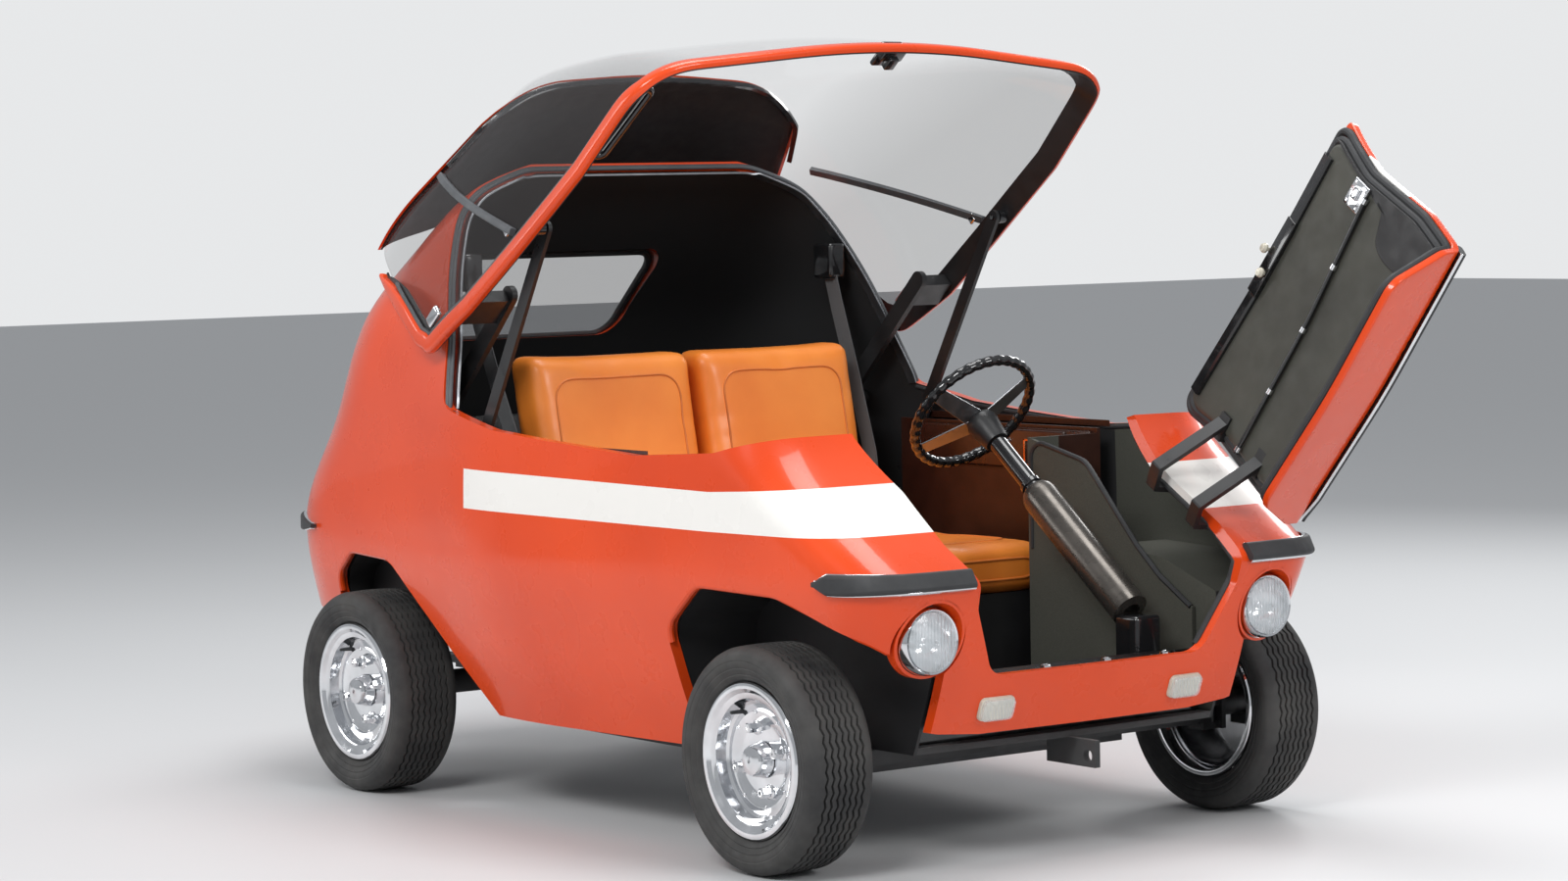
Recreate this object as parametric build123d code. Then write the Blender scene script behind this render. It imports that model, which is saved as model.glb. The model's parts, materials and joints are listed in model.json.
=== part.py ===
from build123d import *
import os
from functools import lru_cache
from math import atan2, cos, degrees, hypot, pi, radians, sin, tan

# Electric microcar with one front door and a raised canopy. Millimetres, +Z up, +X forward, +Y left.
# Stations along X are told from the middle of the wheelbase. ORIGIN_X moves the whole car, so that
# its origin lies on the floor under the middle of its box, door and canopy open.
ORIGIN_X = -55.0

# Wheels
WHEELBASE = 1321.0
TRACK = 1042.0
TYRE_R = 198.0
TYRE_W = 136.0
BEAD_R = 108.0
RIM_LIP_R = 122.0
RIM_BARREL_R = 101.0
RIM_W = 118.0
RIM_T = 5.0
DISH = 34.0
DISC_T = 7.0
SPINDLE_R = 17.0
BORE_GAP = 0.3
LUG_COUNT = 4
LUG_CIRCLE_R = 57.0
LUG_R = 10.0
LUG_H = 36.0
CAP_R = 30.0
CAP_H = 30.0
FRONT_X = WHEELBASE / 2
REAR_X = -WHEELBASE / 2
WHEEL_Y = TRACK / 2

# Body walls and gaps
SKIN = 20.0
SLOPE_SHARE = 1.5
SEAM = 6.0
HOOP_SEAL_W = 20.0
HOOP_SEAL_T = 12.0
HOOP_SEAL_IN = 1.5
HOOP_SEAL_Z = 880.0
HEM_Z = 183.0
TAIL_HEM_Z = 335.0
TAIL_HEM_X = -700.0
CREASE_Z = 505.0
BELT_Z = 735.0
BODY_BOW = 0.03
CANOPY_BOW = 0.14
TAIL_BOW = 0.035
BOW_ROUND = 3.0
SEAT_GAP = 0.3

# Level sections of the closed body, from the hem to the fixed hoop:
# z, front, front_half, middle_half, rear_half, rear, front_radius, middle_radius, rear_radius
LOWER = [
    (175, 838, 430, 512, 400, -1115, 120, 1200, 300),
    (330, 895, 480, 564, 455, -1180, 110, 1200, 350),
    (505, 948, 525, 602, 480, -1200, 110, 1200, 380)]
HOOD = [
    (505, 948, 525, 602, 480, -1200, 110, 1200, 380),
    (735, 640, 548, 592, 480, -1040, 120, 1200, 360)]
UPPER = [
    (735, 640, 548, 592, 480, -1040, 120, 1200, 360),
    (920, 530, 460, 540, 495, -920, 120, 900, 330),
    (1080, 330, 390, 488, 452, -725, 100, 700, 280),
    (1180, 150, 320, 420, 392, -590, 90, 500, 210),
    (1229, 0, 230, 322, 296, -490, 70, 250, 120)]
# The same columns for the canopy, which stands outside the fixed hoop
CANOPY = [
    (700, 612, 556, 596, 560, -900, 120, 1200, 200),
    (900, 443, 492, 570, 525, -860, 120, 900, 200),
    (1060, 240, 430, 522, 480, -830, 105, 700, 190),
    (1180, 67, 345, 455, 420, -800, 90, 500, 160),
    (1262, -88, 150, 250, 200, -760, 60, 150, 60)]
CANOPY_SKIN = 14.0
ROOF_T = 4.5
LINER_T = 4.0
GLASS_T = 6.0

# The canopy's seam in side view, (x, z): along the belt from the rear, then up the hoop
BELT_LINE = [(-299, 779), (-115, 743), (61, 729), (317, 713), (539, 725), (655, 755), (760, 800)]
HOOP_LINE = [(-476, 1300), (-470, 1229), (-447, 1140), (-410, 1060), (-374, 980), (-340, 900),
             (-299, 779)]
PIVOT_X = -445.0
PIVOT_Z = 734.0
CANOPY_OPEN = 39.3
RAIL_H = 34.0
HOOP_RAIL_W = 34.0
ROOF_LINE = [(-620, 1168), (-90, 1178), (22, 1232), (40, 1300), (-620, 1300)]

# The front door: its opening seen from the front, (half width, z), and its hinge line
DOOR_OUTLINE = [(241, 336), (297, 455), (300, 500), (314, 560), (303, 645), (327, 735), (330, 830)]
DOOR_CORNER_R = 40.0
DOOR_SHELL = 14.0
DOOR_PAD = 26.0
DOOR_PAD_INSET = 22.0
DOOR_AXIS = (800.0, 385.0, 581.0)
DOOR_SLOPE = 31.5
DOOR_YAW = -2.9
DOOR_OPEN = 97.1
# Region cut off the door's edge by its hinges, (y, z), to swing clear
DOOR_CHAMFER = [(350, 490), (294.2, 490), (301.7, 560), (290.7, 645), (305.7, 700), (298.7, 737), (284, 752),
                (284, 790), (350, 790)]
DOOR_DROP = 4.0
LINING_DROP = 26.0
STRIP_Y = 309.0

# Wheel arches in side view, (x, z, corner radius)
FRONT_ARCH = [(376, 60, 1), (372, 405, 60), (480, 486, 60), (690, 480, 120), (885, 408, 60), (935, 330, 25),
              (905, 60, 1)]
REAR_ARCH = [(-815, 60, 1), (-832, 415, 60), (-745, 470, 60), (-560, 466, 90), (-395, 330, 120),
             (-240, 180, 30), (-240, 60, 1)]
FRONT_TUB_Y = 345.0
REAR_TUB_Y = 425.0
TUB_T = 6.0
KINGPIN_Y = 470.0
KINGPIN_R = 10.0
AXLE_R = 24.0
SPRING_Y = 300.0

# Cabin
FLOOR_Z = 200.0
FLOOR_T = 12.0
CABIN_Y = 497.0
TRIM_T = 8.0
SEAT_FRONT = 330.0
SEAT_REAR = -190.0
SEAT_BASE_Z = 395.0
CUSHION_T = 95.0
SEAT_HALF = 398.0
SEAT_SPLIT = 2.0
BACK_TOP = (-383.0, 862.0)
BACK_T = 98.0
SHELF_Z = 690.0
SHELF_T = 12.0
REAR_FLOOR_X = -310.0
REAR_FLOOR_Z = 345.0
TRIM_FRONT = 335.0
KICK_Y = 329.0
TOE_X = 788.0
SILL_Z = 318.0
TOW_X = 880.0
TOW_Z = 172.0
TOW_R = 11.0
TOW_T = 12.0
# Tops of the side trim and the kick panel in side view, (x, z)
TRIM_OUTLINE = [(-262, 212), (-262, 700), (TRIM_FRONT + TRIM_T, 700), (TRIM_FRONT + TRIM_T, 212)]
KICK_OUTLINE = [(TRIM_FRONT, 212), (TRIM_FRONT, 690), (500, 650), (640, 500), (700, 450), (TOE_X, 400),
                (TOE_X, 212)]

# Canopy hinge arms, lift bars and their guides
ARM_Y = 486.0
ARM_T = 12.0
ARM_W = 36.0
ARM_FOOT = (-90.0, 763.0)
ARM_FOOT_L = 66.0
PIN_R = 8.0
BAR_TOP = (137.0, 739.0)
BAR_GUIDE = (-290.0, 610.0)
BAR_Y = 528.0
BAR_T = 8.0
BAR_W = 28.0
BAR_TAIL = 22.0
BAR_PIN_R = 6.0

# Door hinges: places along the hinge line, and the gooseneck in the plane square to it,
# (towards the door, outwards)
GOOSES = [
    (-70.0, [(0, 0), (-9, -24), (-12, -105), (29, -116), (134, -14)]),
    (48.0, [(0, 0), (-9, -24), (-12, -97), (27, -106), (128, -11)])]
GOOSE_T = 10.0
GOOSE_W = 26.0
GOOSE_PIN_R = 4.5
GOOSE_BOSS_R = 8.0
LUG_GAP = 1.0
LUG_T = 8.0

# Steering wheel
STEER_Y = 225.0
STEER_X = 300.0
STEER_Z = 743.0
STEER_DROP = 38.3
STEER_R = 126.0
STEER_TUBE_R = 10.5
COLUMN_R = 16.0
COLUMN_L = 580.0

# Lamps
HEADLAMP = (941.0, 386.0, 407.0)
HEADLAMP_R = 52.0
BEZEL_R = 58.0
SCOOP_R = 71.0
SIGNAL = (874.0, 217.0, 277.0)
SIGNAL_W = 74.0
SIGNAL_H = 40.0
TAIL_LAMP = (330.0, 590.0)
TAIL_LAMP_R = 42.0

SIDES = (("left", 1), ("right", -1))


def rounded(corners):
    """Closed wire of tangent runs and arcs through corners of (x, y, radius)."""
    count = len(corners)
    arcs = []
    for k in range(count):
        before, corner, after = (Vector(*corners[(k + j) % count][:2]) for j in (-1, 0, 1))
        radius = corners[k][2]
        back, ahead = (before - corner).normalized(), (after - corner).normalized()
        half = radians(back.get_angle(ahead) / 2)
        run = radius / tan(half)
        middle = corner + (back + ahead).normalized() * (radius / sin(half) - radius)
        arcs.append((corner + back * run, middle, corner + ahead * run))
    edges = []
    for k, (start, middle, end) in enumerate(arcs):
        edges.append(ThreePointArc(start, middle, end).edge())
        edges.append(Line(end, arcs[(k + 1) % count][0]).edge())
    return Wire(edges)


def section(row, wall, front_wall, bow):
    """One level section, moved in by a wall."""
    z, front, front_half, middle_half, rear_half, rear, front_r, middle_r, rear_r = row
    front, rear = front - front_wall, rear + wall
    front_half, middle_half, rear_half = front_half - wall, middle_half - wall, rear_half - wall
    middle = (front + rear) / 2
    half = [(front + bow * front_half, 0, BOW_ROUND * front_half), (front, front_half, front_r - wall),
            (middle, middle_half, middle_r), (rear, rear_half, rear_r - wall),
            (rear - TAIL_BOW * rear_half, 0, BOW_ROUND * rear_half)]
    mirrored = [(x, -y, r) for x, y, r in half[3:0:-1]]
    return rounded(half + mirrored).moved(Location((0, 0, z)))


def stack(rows, wall, front_wall, bow=BODY_BOW, drop=0.0):
    """Ruled loft through the level sections; the drop lowers all but the first."""
    wires = [section(row, wall, front_wall, bow) for row in rows]
    moved = [wires[0]] + [wire.moved(Location((0, 0, -drop))) for wire in wires[1:]]
    return Solid.make_loft(moved, True)


@lru_cache(maxsize=None)
def body_form(wall):
    """The closed body's outer form, moved in by a wall."""
    slope = wall * SLOPE_SHARE
    bottom = stack(LOWER, wall, slope)
    hood = stack(HOOD, wall, slope)
    top = stack(UPPER, wall, slope, drop=max(wall, 0))
    return bottom + hood + top


@lru_cache(maxsize=None)
def canopy_form(wall):
    """The closed canopy's outer form, moved in by a wall."""
    return stack(CANOPY, wall, wall * SLOPE_SHARE, bow=CANOPY_BOW, drop=wall)


def side_prism(points, y0=-900.0, y1=900.0):
    """Prism across the car over an outline in side view."""
    face = Face(Wire.make_polygon([Vector(x, 0, z) for x, z in points], close=True))
    return slab_from(face, y0, y1)


def slab_from(face, y0, y1):
    """The face in side view, thickened from y0 to y1."""
    return Solid.extrude(face.moved(Location((0, y0, 0))), Vector(0, y1 - y0, 0))


def arch_prism(corners, y0, y1):
    """Prism over a side-view outline with rounded corners."""
    wire = rounded(corners)
    face = Face(wire).rotate(Axis.X, 90)
    return slab_from(face, y0, y1)


def box(x0, x1, y0, y1, z0, z1):
    """Box between two corners."""
    size = (abs(x1 - x0), abs(y1 - y0), abs(z1 - z0))
    return Solid.make_box(*size, Plane((min(x0, x1), min(y0, y1), min(z0, z1))))


def rod(start, end, radius):
    """Round bar between two points."""
    a, b = Vector(*start), Vector(*end)
    return Solid.make_cylinder(radius, (b - a).length, Plane(a, z_dir=b - a))


def mirror_y(shape):
    return shape.mirror(Plane.XZ)


def both(shape):
    """The shape and its mirror image on the other side."""
    return [shape, mirror_y(shape)]


def solids_of(shapes):
    """All solids in a shape or a list of shapes."""
    if not isinstance(shapes, (list, tuple)):
        shapes = [shapes]
    found = []
    for shape in shapes:
        found += shape.solids()
    return found


def save(name, shapes):
    """Write one sub-part, moved to the car's origin."""
    place = Location((ORIGIN_X, 0, 0))
    pieces = [piece.moved(place) for piece in solids_of(shapes)]
    export_step(pieces[0] if len(pieces) == 1 else Compound(children=pieces), f"parts/{name}.step")


def canopy_pose(shape):
    """From the closed canopy to the open one."""
    return shape.rotate(Axis((PIVOT_X, 0, PIVOT_Z), (0, 1, 0)), -CANOPY_OPEN)


def door_axis():
    yaw, slope = radians(DOOR_YAW), radians(DOOR_SLOPE)
    return Axis(DOOR_AXIS, (cos(slope) * cos(yaw), cos(slope) * sin(yaw), -sin(slope)))


def door_pose(shape):
    """From the closed door to the open one."""
    return shape.rotate(door_axis(), -DOOR_OPEN)


def shifted(points, dx, dz):
    return [(x + dx, z + dz) for x, z in points]


def canopy_mask(down=0.0, back=0.0, high=1400.0):
    """Side-view region of the canopy, its seams moved down and back."""
    belt = shifted(BELT_LINE, 0, -down)
    hoop = shifted(HOOP_LINE[:-1], -back, 0)
    corner = (BELT_LINE[0][0] - back, BELT_LINE[0][1] - down)
    return side_prism([corner] + belt[1:] + [(BELT_LINE[-1][0], high), (HOOP_LINE[0][0] - back, high)] + hoop)


def door_prism(inset):
    """The door opening's outline, run through the nose."""
    points = [(half - inset, z) for half, z in DOOR_OUTLINE]
    points[0] = (points[0][0], points[0][1] + inset)
    outline = [(half, z, 30) for half, z in points[1:-1]]
    outline = [(points[0][0], points[0][1], DOOR_CORNER_R)] + outline + [(points[-1][0], points[-1][1], 1)]
    wire = rounded(outline + [(-y, z, r) for y, z, r in outline[::-1]])
    face = Face(wire).rotate(Axis.X, 90).rotate(Axis.Z, 90)
    return Solid.extrude(face.moved(Location((560, 0, 0))), Vector(600, 0, 0))


def body_shell():
    """The whole fixed skin with its openings, before it is split into panels."""
    shell = body_form(0) - body_form(SKIN)
    shell -= box(-2000, 2000, -900, 900, 0, HEM_Z)
    shell -= box(-2000, TAIL_HEM_X, -900, 900, 0, TAIL_HEM_Z)
    shell -= canopy_mask(SEAM + 2, SEAM)
    shell -= door_prism(0)
    for y0, y1 in ((FRONT_TUB_Y, 900), (-900, -FRONT_TUB_Y)):
        shell -= arch_prism(FRONT_ARCH, y0, y1)
    for y0, y1 in ((REAR_TUB_Y, 900), (-900, -REAR_TUB_Y)):
        shell -= arch_prism(REAR_ARCH, y0, y1)
    return shell


def make_body(shell, outer):
    """Skin panels, split where the real ones meet."""
    fender_rear, nose_half, side_rear = 350.0, 308.0, -215.0
    tail_x = -960.0
    low = box(-2000, 2000, -900, 900, 0, BELT_Z)
    nose_box = box(700, 1100, -nose_half, nose_half, HEM_Z, CREASE_Z)
    valance_cut = box(700, 1100, -900, 900, 0, 232)
    valance_end = box(700, 1100, nose_half, 900, 0, 266)
    nose = shell & nose_box - valance_cut
    bowls = lamp_bowls(outer)
    save("nose", nose)
    fender_box = box(fender_rear, 1100, 0, 900, 0, BELT_Z + 80) - box(700, 1100, -1, nose_half, 0, CREASE_Z)
    x, y, z = HEADLAMP
    lamp_way = rod((x - 141, y, z), (x + 159, y, z), SCOOP_R)
    fender = (shell & fender_box) - valance_cut - valance_end - lamp_way
    fender += bowls
    save("fenders", both(fender))
    side_panel = shell & box(side_rear, fender_rear, 0, 900, 0, BELT_Z + 80)
    save("side_panels", both(side_panel))
    quarter = shell & box(tail_x, side_rear, 0, 900, 0, BELT_Z)
    save("quarters", both(quarter))
    save("tail_panel", shell & box(-1400, tail_x, -900, 900, 0, BELT_Z))
    upper = shell & box(-1400, side_rear, -900, 900, BELT_Z, 1400)
    window = box(-1100, -700, -255, 255, 868, 1052)
    save("rear_roof", upper - window)
    pane = box(-1100, -700, -255 + SEAT_GAP, 255 - SEAT_GAP, 868 + SEAT_GAP, 1052 - SEAT_GAP)
    glass = (body_form(6) - body_form(6 + GLASS_T)) & pane
    save("rear_window", glass)


def lamp_bowls(outer):
    """The recessed bowl round the left headlamp, part of the fender."""
    x, y, z = HEADLAMP
    profile = [(0, SCOOP_R), (0, SCOOP_R - 4), (-38, BEZEL_R + 1), (-60, BEZEL_R + 1), (-60, BEZEL_R + 6),
               (-38, BEZEL_R + 6)]
    face = Face(Wire.make_polygon([Vector(x + 5 + dx, y + r, z) for dx, r in profile], close=True))
    return Solid.revolve(face, 360, Axis((x, y, z), (1, 0, 0))) & outer


def make_lamps():
    """Headlamps, turn signals and tail lamps."""
    x, y, z = HEADLAMP
    bucket = rod((x - 95, y, z), (x - 34, y, z), BEZEL_R - 6)
    bezel = rod((x - 34, y, z), (x - 22, y, z), BEZEL_R) - rod((x - 30, y, z), (x - 20, y, z), HEADLAMP_R)
    dome = Solid.make_sphere(120, Plane((x - 134, y, z)), angle1=0)
    dome = dome & rod((x - 30, y, z), (x + 20, y, z), HEADLAMP_R)
    save("headlamps", both(bucket + bezel + dome))
    sx, sy, sz = SIGNAL
    lens = box(sx - 30, sx + 40, sy - SIGNAL_W / 2, sy + SIGNAL_W / 2, sz - SIGNAL_H / 2, sz + SIGNAL_H / 2)
    save("turn_signals", both(lens & (body_form(-14) - body_form(-SEAT_GAP))))
    ty, tz = TAIL_LAMP
    lamp = rod((-1300, ty, tz), (-900, ty, tz), TAIL_LAMP_R) & (body_form(-12) - body_form(-SEAT_GAP))
    save("tail_lamps", both(lamp))


def make_strips():
    """Rubber bumper strips along the crease, front and rear."""
    band = body_form(-13) - body_form(-SEAT_GAP)
    level = box(-1400, 1400, -900, 900, 488, 528)
    front = band & level & box(800, 1100, STRIP_Y, 900, 0, 800)
    rear = band & level & box(-1400, -900, -900, 900, 0, 800)
    save("bumper_strips", both(front) + [rear])
    door_strip = band & level & door_prism(SEAM)
    save("door_strip", door_pose(door_strip))


def lamp_free(shape):
    """The shape without the space of the recessed headlamps."""
    x, y, z = HEADLAMP
    for sign in (1, -1):
        shape = shape - rod((x - 100, sign * y, z), (x + 60, sign * y, z), BEZEL_R + 8)
    return shape


def grown_arch(corners, grow, y0, y1):
    """The arch's prism with its outline moved out."""
    wire = rounded(corners).offset_2d(grow)
    return slab_from(Face(wire).rotate(Axis.X, 90), y0, y1)


def make_tubs():
    """Dark wheel tubs that close the arches off from the cabin."""
    inside = body_form(SKIN + SEAT_GAP)
    tubs = []
    for corners, y, hem in ((FRONT_ARCH, FRONT_TUB_Y, FLOOR_Z), (REAR_ARCH, REAR_TUB_Y, REAR_FLOOR_Z)):
        tub = (grown_arch(corners, TUB_T, y - TUB_T, 900) & inside) - arch_prism(corners, y, 900)
        tub -= box(-2000, 2000, 0, 900, 0, hem)
        tubs += both(lamp_free(tub))
    save("wheel_tubs", tubs)


def make_hoop():
    """Rubber seal on the front edge of the fixed hoop."""
    strip = canopy_mask(0, SEAM) - canopy_mask(0, SEAM - HOOP_SEAL_W)
    band = (body_form(HOOP_SEAL_IN) - body_form(HOOP_SEAL_IN + HOOP_SEAL_T)) & strip
    save("hoop_seal", band & box(-700, -250, -900, 900, HOOP_SEAL_Z, 1400))


def make_canopy():
    """Raised canopy: rail, roof, headliner, glass, division bars, hinge arms and latch."""
    outer = canopy_form(0)
    mask = canopy_mask()
    skin = (outer - canopy_form(CANOPY_SKIN)) & mask
    inner_mask = canopy_mask(-RAIL_H, -HOOP_RAIL_W)
    roof_mask = side_prism(ROOF_LINE)
    rail = skin - inner_mask - roof_mask
    roof_shell = (outer - canopy_form(ROOF_T)) & mask & roof_mask
    liner_out = ROOF_T + SEAT_GAP
    liner = (canopy_form(liner_out) - canopy_form(liner_out + LINER_T)) & mask & roof_mask
    wall = (CANOPY_SKIN - GLASS_T) / 2
    glass = (canopy_form(wall) - canopy_form(wall + GLASS_T)) & inner_mask - roof_mask
    save("canopy_rail", canopy_pose(rail))
    save("canopy_roof", canopy_pose(roof_shell))
    save("canopy_liner", canopy_pose(liner))
    save("canopy_glass", canopy_pose(glass))


def turned(point, angle=CANOPY_OPEN):
    """A side-view point, turned up about the canopy's pivot."""
    a = radians(angle)
    dx, dz = point[0] - PIVOT_X, point[1] - PIVOT_Z
    return PIVOT_X + dx * cos(a) - dz * sin(a), PIVOT_Z + dx * sin(a) + dz * cos(a)


def flat_bar(start, end, width, y0, y1):
    """Flat bar with round ends between two side-view points."""
    (x0, z0), (x1, z1) = start, end
    length = hypot(x1 - x0, z1 - z0)
    nx, nz = -(z1 - z0) / length * width / 2, (x1 - x0) / length * width / 2
    bar = side_prism([(x0 + nx, z0 + nz), (x1 + nx, z1 + nz), (x1 - nx, z1 - nz), (x0 - nx, z0 - nz)], y0, y1)
    for x, z in (start, end):
        bar += rod((x, y0, z), (x, y1, z), width / 2)
    return bar


def make_canopy_fittings():
    """Hinge arms with their pins, the lift bars with their guides, the latch and the grab handle."""
    pivot = (PIVOT_X, PIVOT_Z)
    arm_end = ARM_Y + ARM_T
    room = canopy_form(CANOPY_SKIN + SEAT_GAP)
    arm = flat_bar(pivot, ARM_FOOT, ARM_W, ARM_Y, arm_end)
    foot_x = ARM_FOOT[0]
    foot = box(foot_x - ARM_FOOT_L, foot_x, arm_end - 1, 620, ARM_FOOT[1] - 14, ARM_FOOT[1] + 12) & room
    arm = arm + foot - rod((PIVOT_X, 0, PIVOT_Z), (PIVOT_X, 900, PIVOT_Z), PIN_R + BORE_GAP)
    save("canopy_arms", both(canopy_pose(arm)))
    wall = body_form(SKIN + SEAT_GAP)
    pin = rod((PIVOT_X, ARM_Y - 6, PIVOT_Z), (PIVOT_X, 620, PIVOT_Z), PIN_R)
    boss = rod((PIVOT_X, arm_end + 1, PIVOT_Z), (PIVOT_X, 620, PIVOT_Z), PIN_R + 12)
    guide_x, guide_z = BAR_GUIDE
    guide = rod((guide_x, BAR_Y + BAR_T + 0.5, guide_z), (guide_x, 620, guide_z), 9)
    save("canopy_pins", both((pin + boss) & wall) + both(guide & wall))
    top = turned(BAR_TOP)
    run = hypot(guide_x - top[0], guide_z - top[1])
    share = (run + BAR_TAIL) / run
    end = (top[0] + (guide_x - top[0]) * share, top[1] + (guide_z - top[1]) * share)
    bar = flat_bar(top, end, BAR_W, BAR_Y, BAR_Y + BAR_T)
    bar -= rod((top[0], 0, top[1]), (top[0], 900, top[1]), BAR_PIN_R + BORE_GAP)
    for (side, _), piece in zip(SIDES, both(bar)):
        save(f"lift_bar_{side}", piece)
    x, z = BAR_TOP
    stud = rod((x, BAR_Y - 4, z), (x, 620, z), BAR_PIN_R) + rod((x, BAR_Y + BAR_T + 1, z), (x, 620, z), 13)
    stud = stud & room
    latch = box(590, 700, -26, 26, 742, 772) & room
    handle = rod((330, -512, 742), (520, -488, 748), 8)
    for hx, hy in ((340, -511), (510, -490)):
        handle += rod((hx, hy, 742), (hx, -620, 742), 7)
    save("canopy_fittings", [canopy_pose(piece) for piece in both(stud) + [latch, handle & room]])


def door_layer(depth, height, y0, y1, z0, z1):
    """A piece that lies on the closed door's lining, between its own depth and height."""
    back = DOOR_SHELL + DOOR_PAD + SEAT_GAP
    layer = body_form(back + depth) - body_form(back + height)
    return layer & box(500, 1100, y0, y1, z0, z1)


def goose_plane(place):
    """Plane square to the hinge line: its X runs to the door, its Y outwards."""
    axis = door_axis()
    origin = axis.position + axis.direction * place
    return Plane(origin, x_dir=Vector(0, -1, 0), z_dir=axis.direction * -1)


def make_door_hinges():
    """Two goosenecks that wrap round the opening's edge, and the lugs and pins that carry them."""
    arms, lugs = [], []
    room = body_form(DOOR_SHELL + DOOR_PAD + SEAT_GAP)
    inside = body_form(SKIN + SEAT_GAP)
    for place, path in GOOSES:
        plane = goose_plane(place)
        arm = None
        for (u0, v0), (u1, v1) in zip(path, path[1:]):
            length = hypot(u1 - u0, v1 - v0)
            turn = degrees(atan2(v1 - v0, u1 - u0))
            piece = Solid.make_box(length, GOOSE_T, GOOSE_W, Plane((0, -GOOSE_T / 2, -GOOSE_W / 2)))
            piece += Solid.make_cylinder(GOOSE_T / 2, GOOSE_W, Plane((0, 0, -GOOSE_W / 2)))
            piece = piece.rotate(Axis.Z, turn).moved(Location((u0, v0, 0)))
            arm = piece if arm is None else arm + piece
        arm += Solid.make_cylinder(GOOSE_BOSS_R, GOOSE_W, Plane((0, 0, -GOOSE_W / 2)))
        arm += Solid.make_box(50, 26, GOOSE_W, Plane((100, -16, -GOOSE_W / 2)))
        arm -= Solid.make_cylinder(GOOSE_PIN_R + BORE_GAP, 90, Plane((0, 0, -45)))
        arms.append(plane.location * arm & room)
        half = GOOSE_W / 2 + LUG_GAP
        pin = Solid.make_cylinder(GOOSE_PIN_R, 2 * (half + LUG_T), Plane((0, 0, -half - LUG_T)))
        for z0 in (half, -half - LUG_T):
            pin += Solid.make_box(26, 60, LUG_T, Plane((-13, -11, z0)))
        lugs.append(plane.location * pin & inside)
    save("door_hinges", [door_pose(arm) for arm in arms])
    save("hinge_lugs", lugs)


def make_door(outer):
    """Front door, swung up to the left: skin, padded lining and latch."""
    cut = canopy_mask(SEAM + DOOR_DROP, SEAM)
    prism, pad_prism = door_prism(SEAM), door_prism(DOOR_PAD_INSET)
    corner = Face(Wire.make_polygon([Vector(500, y, z) for y, z in DOOR_CHAMFER], close=True))
    skin = ((outer - body_form(DOOR_SHELL)) & prism) - cut - Solid.extrude(corner, Vector(400, 0, 0))
    lining = (body_form(DOOR_SHELL + SEAT_GAP) - body_form(DOOR_SHELL + DOOR_PAD)) & pad_prism
    lining -= canopy_mask(SEAM + LINING_DROP, SEAM)
    save("door_outer", door_pose(skin))
    save("door_inner", door_pose(lining))
    latch = door_layer(0, 26, -278, -226, 470, 520)
    bracket = door_layer(0, 16, -70, 20, 560, 640)
    save("door_fittings", [door_pose(latch), door_pose(bracket)])


def spun(profile):
    """Solid of revolution about the wheel's axis from (radius, place along it)."""
    wire = Wire.make_polygon([Vector(r, y, 0) for r, y in profile], close=True)
    return Solid.revolve(Face(wire), 360, Axis.Y)


def make_wheels():
    """Tyres and deep-dish rims, one pair of nodes for each wheel."""
    half = TYRE_W / 2
    tread = half * 0.74
    bead = RIM_W / 2 - 16 - SEAT_GAP
    flank = [(BEAD_R, bead), (BEAD_R + 15, bead + 1), (BEAD_R + 34, half * 0.98), (TYRE_R - 30, half),
             (TYRE_R - 9, half * 0.9), (TYRE_R, tread)]
    tyre = spun(flank + [(r, -y) for r, y in flank[::-1]])
    lip, barrel, face_y = RIM_W / 2, RIM_BARREL_R, RIM_W / 2 - DISH
    outline = [(SPINDLE_R + BORE_GAP, face_y), (barrel - RIM_T, face_y), (barrel - RIM_T, lip - 14),
               (RIM_LIP_R - 6, lip), (RIM_LIP_R, lip), (RIM_LIP_R, lip - 4), (BEAD_R - SEAT_GAP, lip - 16),
               (barrel, lip - 30), (barrel, -lip + 30), (BEAD_R - SEAT_GAP, -lip + 16), (RIM_LIP_R, -lip + 4),
               (RIM_LIP_R, -lip), (RIM_LIP_R - 6, -lip), (barrel - RIM_T, -lip + 14),
               (barrel - RIM_T, face_y - DISC_T), (SPINDLE_R + BORE_GAP, face_y - DISC_T)]
    rim = spun(outline)
    cap = rod((0, face_y, 0), (0, face_y + CAP_H, 0), CAP_R) - rod((0, face_y - 1, 0), (0, face_y + 12, 0), 24)
    rim += cap
    for k in range(LUG_COUNT):
        turn = 2 * pi * k / LUG_COUNT
        x, z = LUG_CIRCLE_R * cos(turn), LUG_CIRCLE_R * sin(turn)
        rim += rod((x, face_y, z), (x, face_y + LUG_H, z), LUG_R)
    for end, x in (("front", FRONT_X), ("rear", REAR_X)):
        for side, sign in SIDES:
            place = Location((x, sign * WHEEL_Y, TYRE_R))
            turned = (lambda s: s) if sign > 0 else mirror_y
            save(f"tyre_{end}_{side}", turned(tyre).moved(place))
            save(f"rim_{end}_{side}", turned(rim).moved(place))


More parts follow.
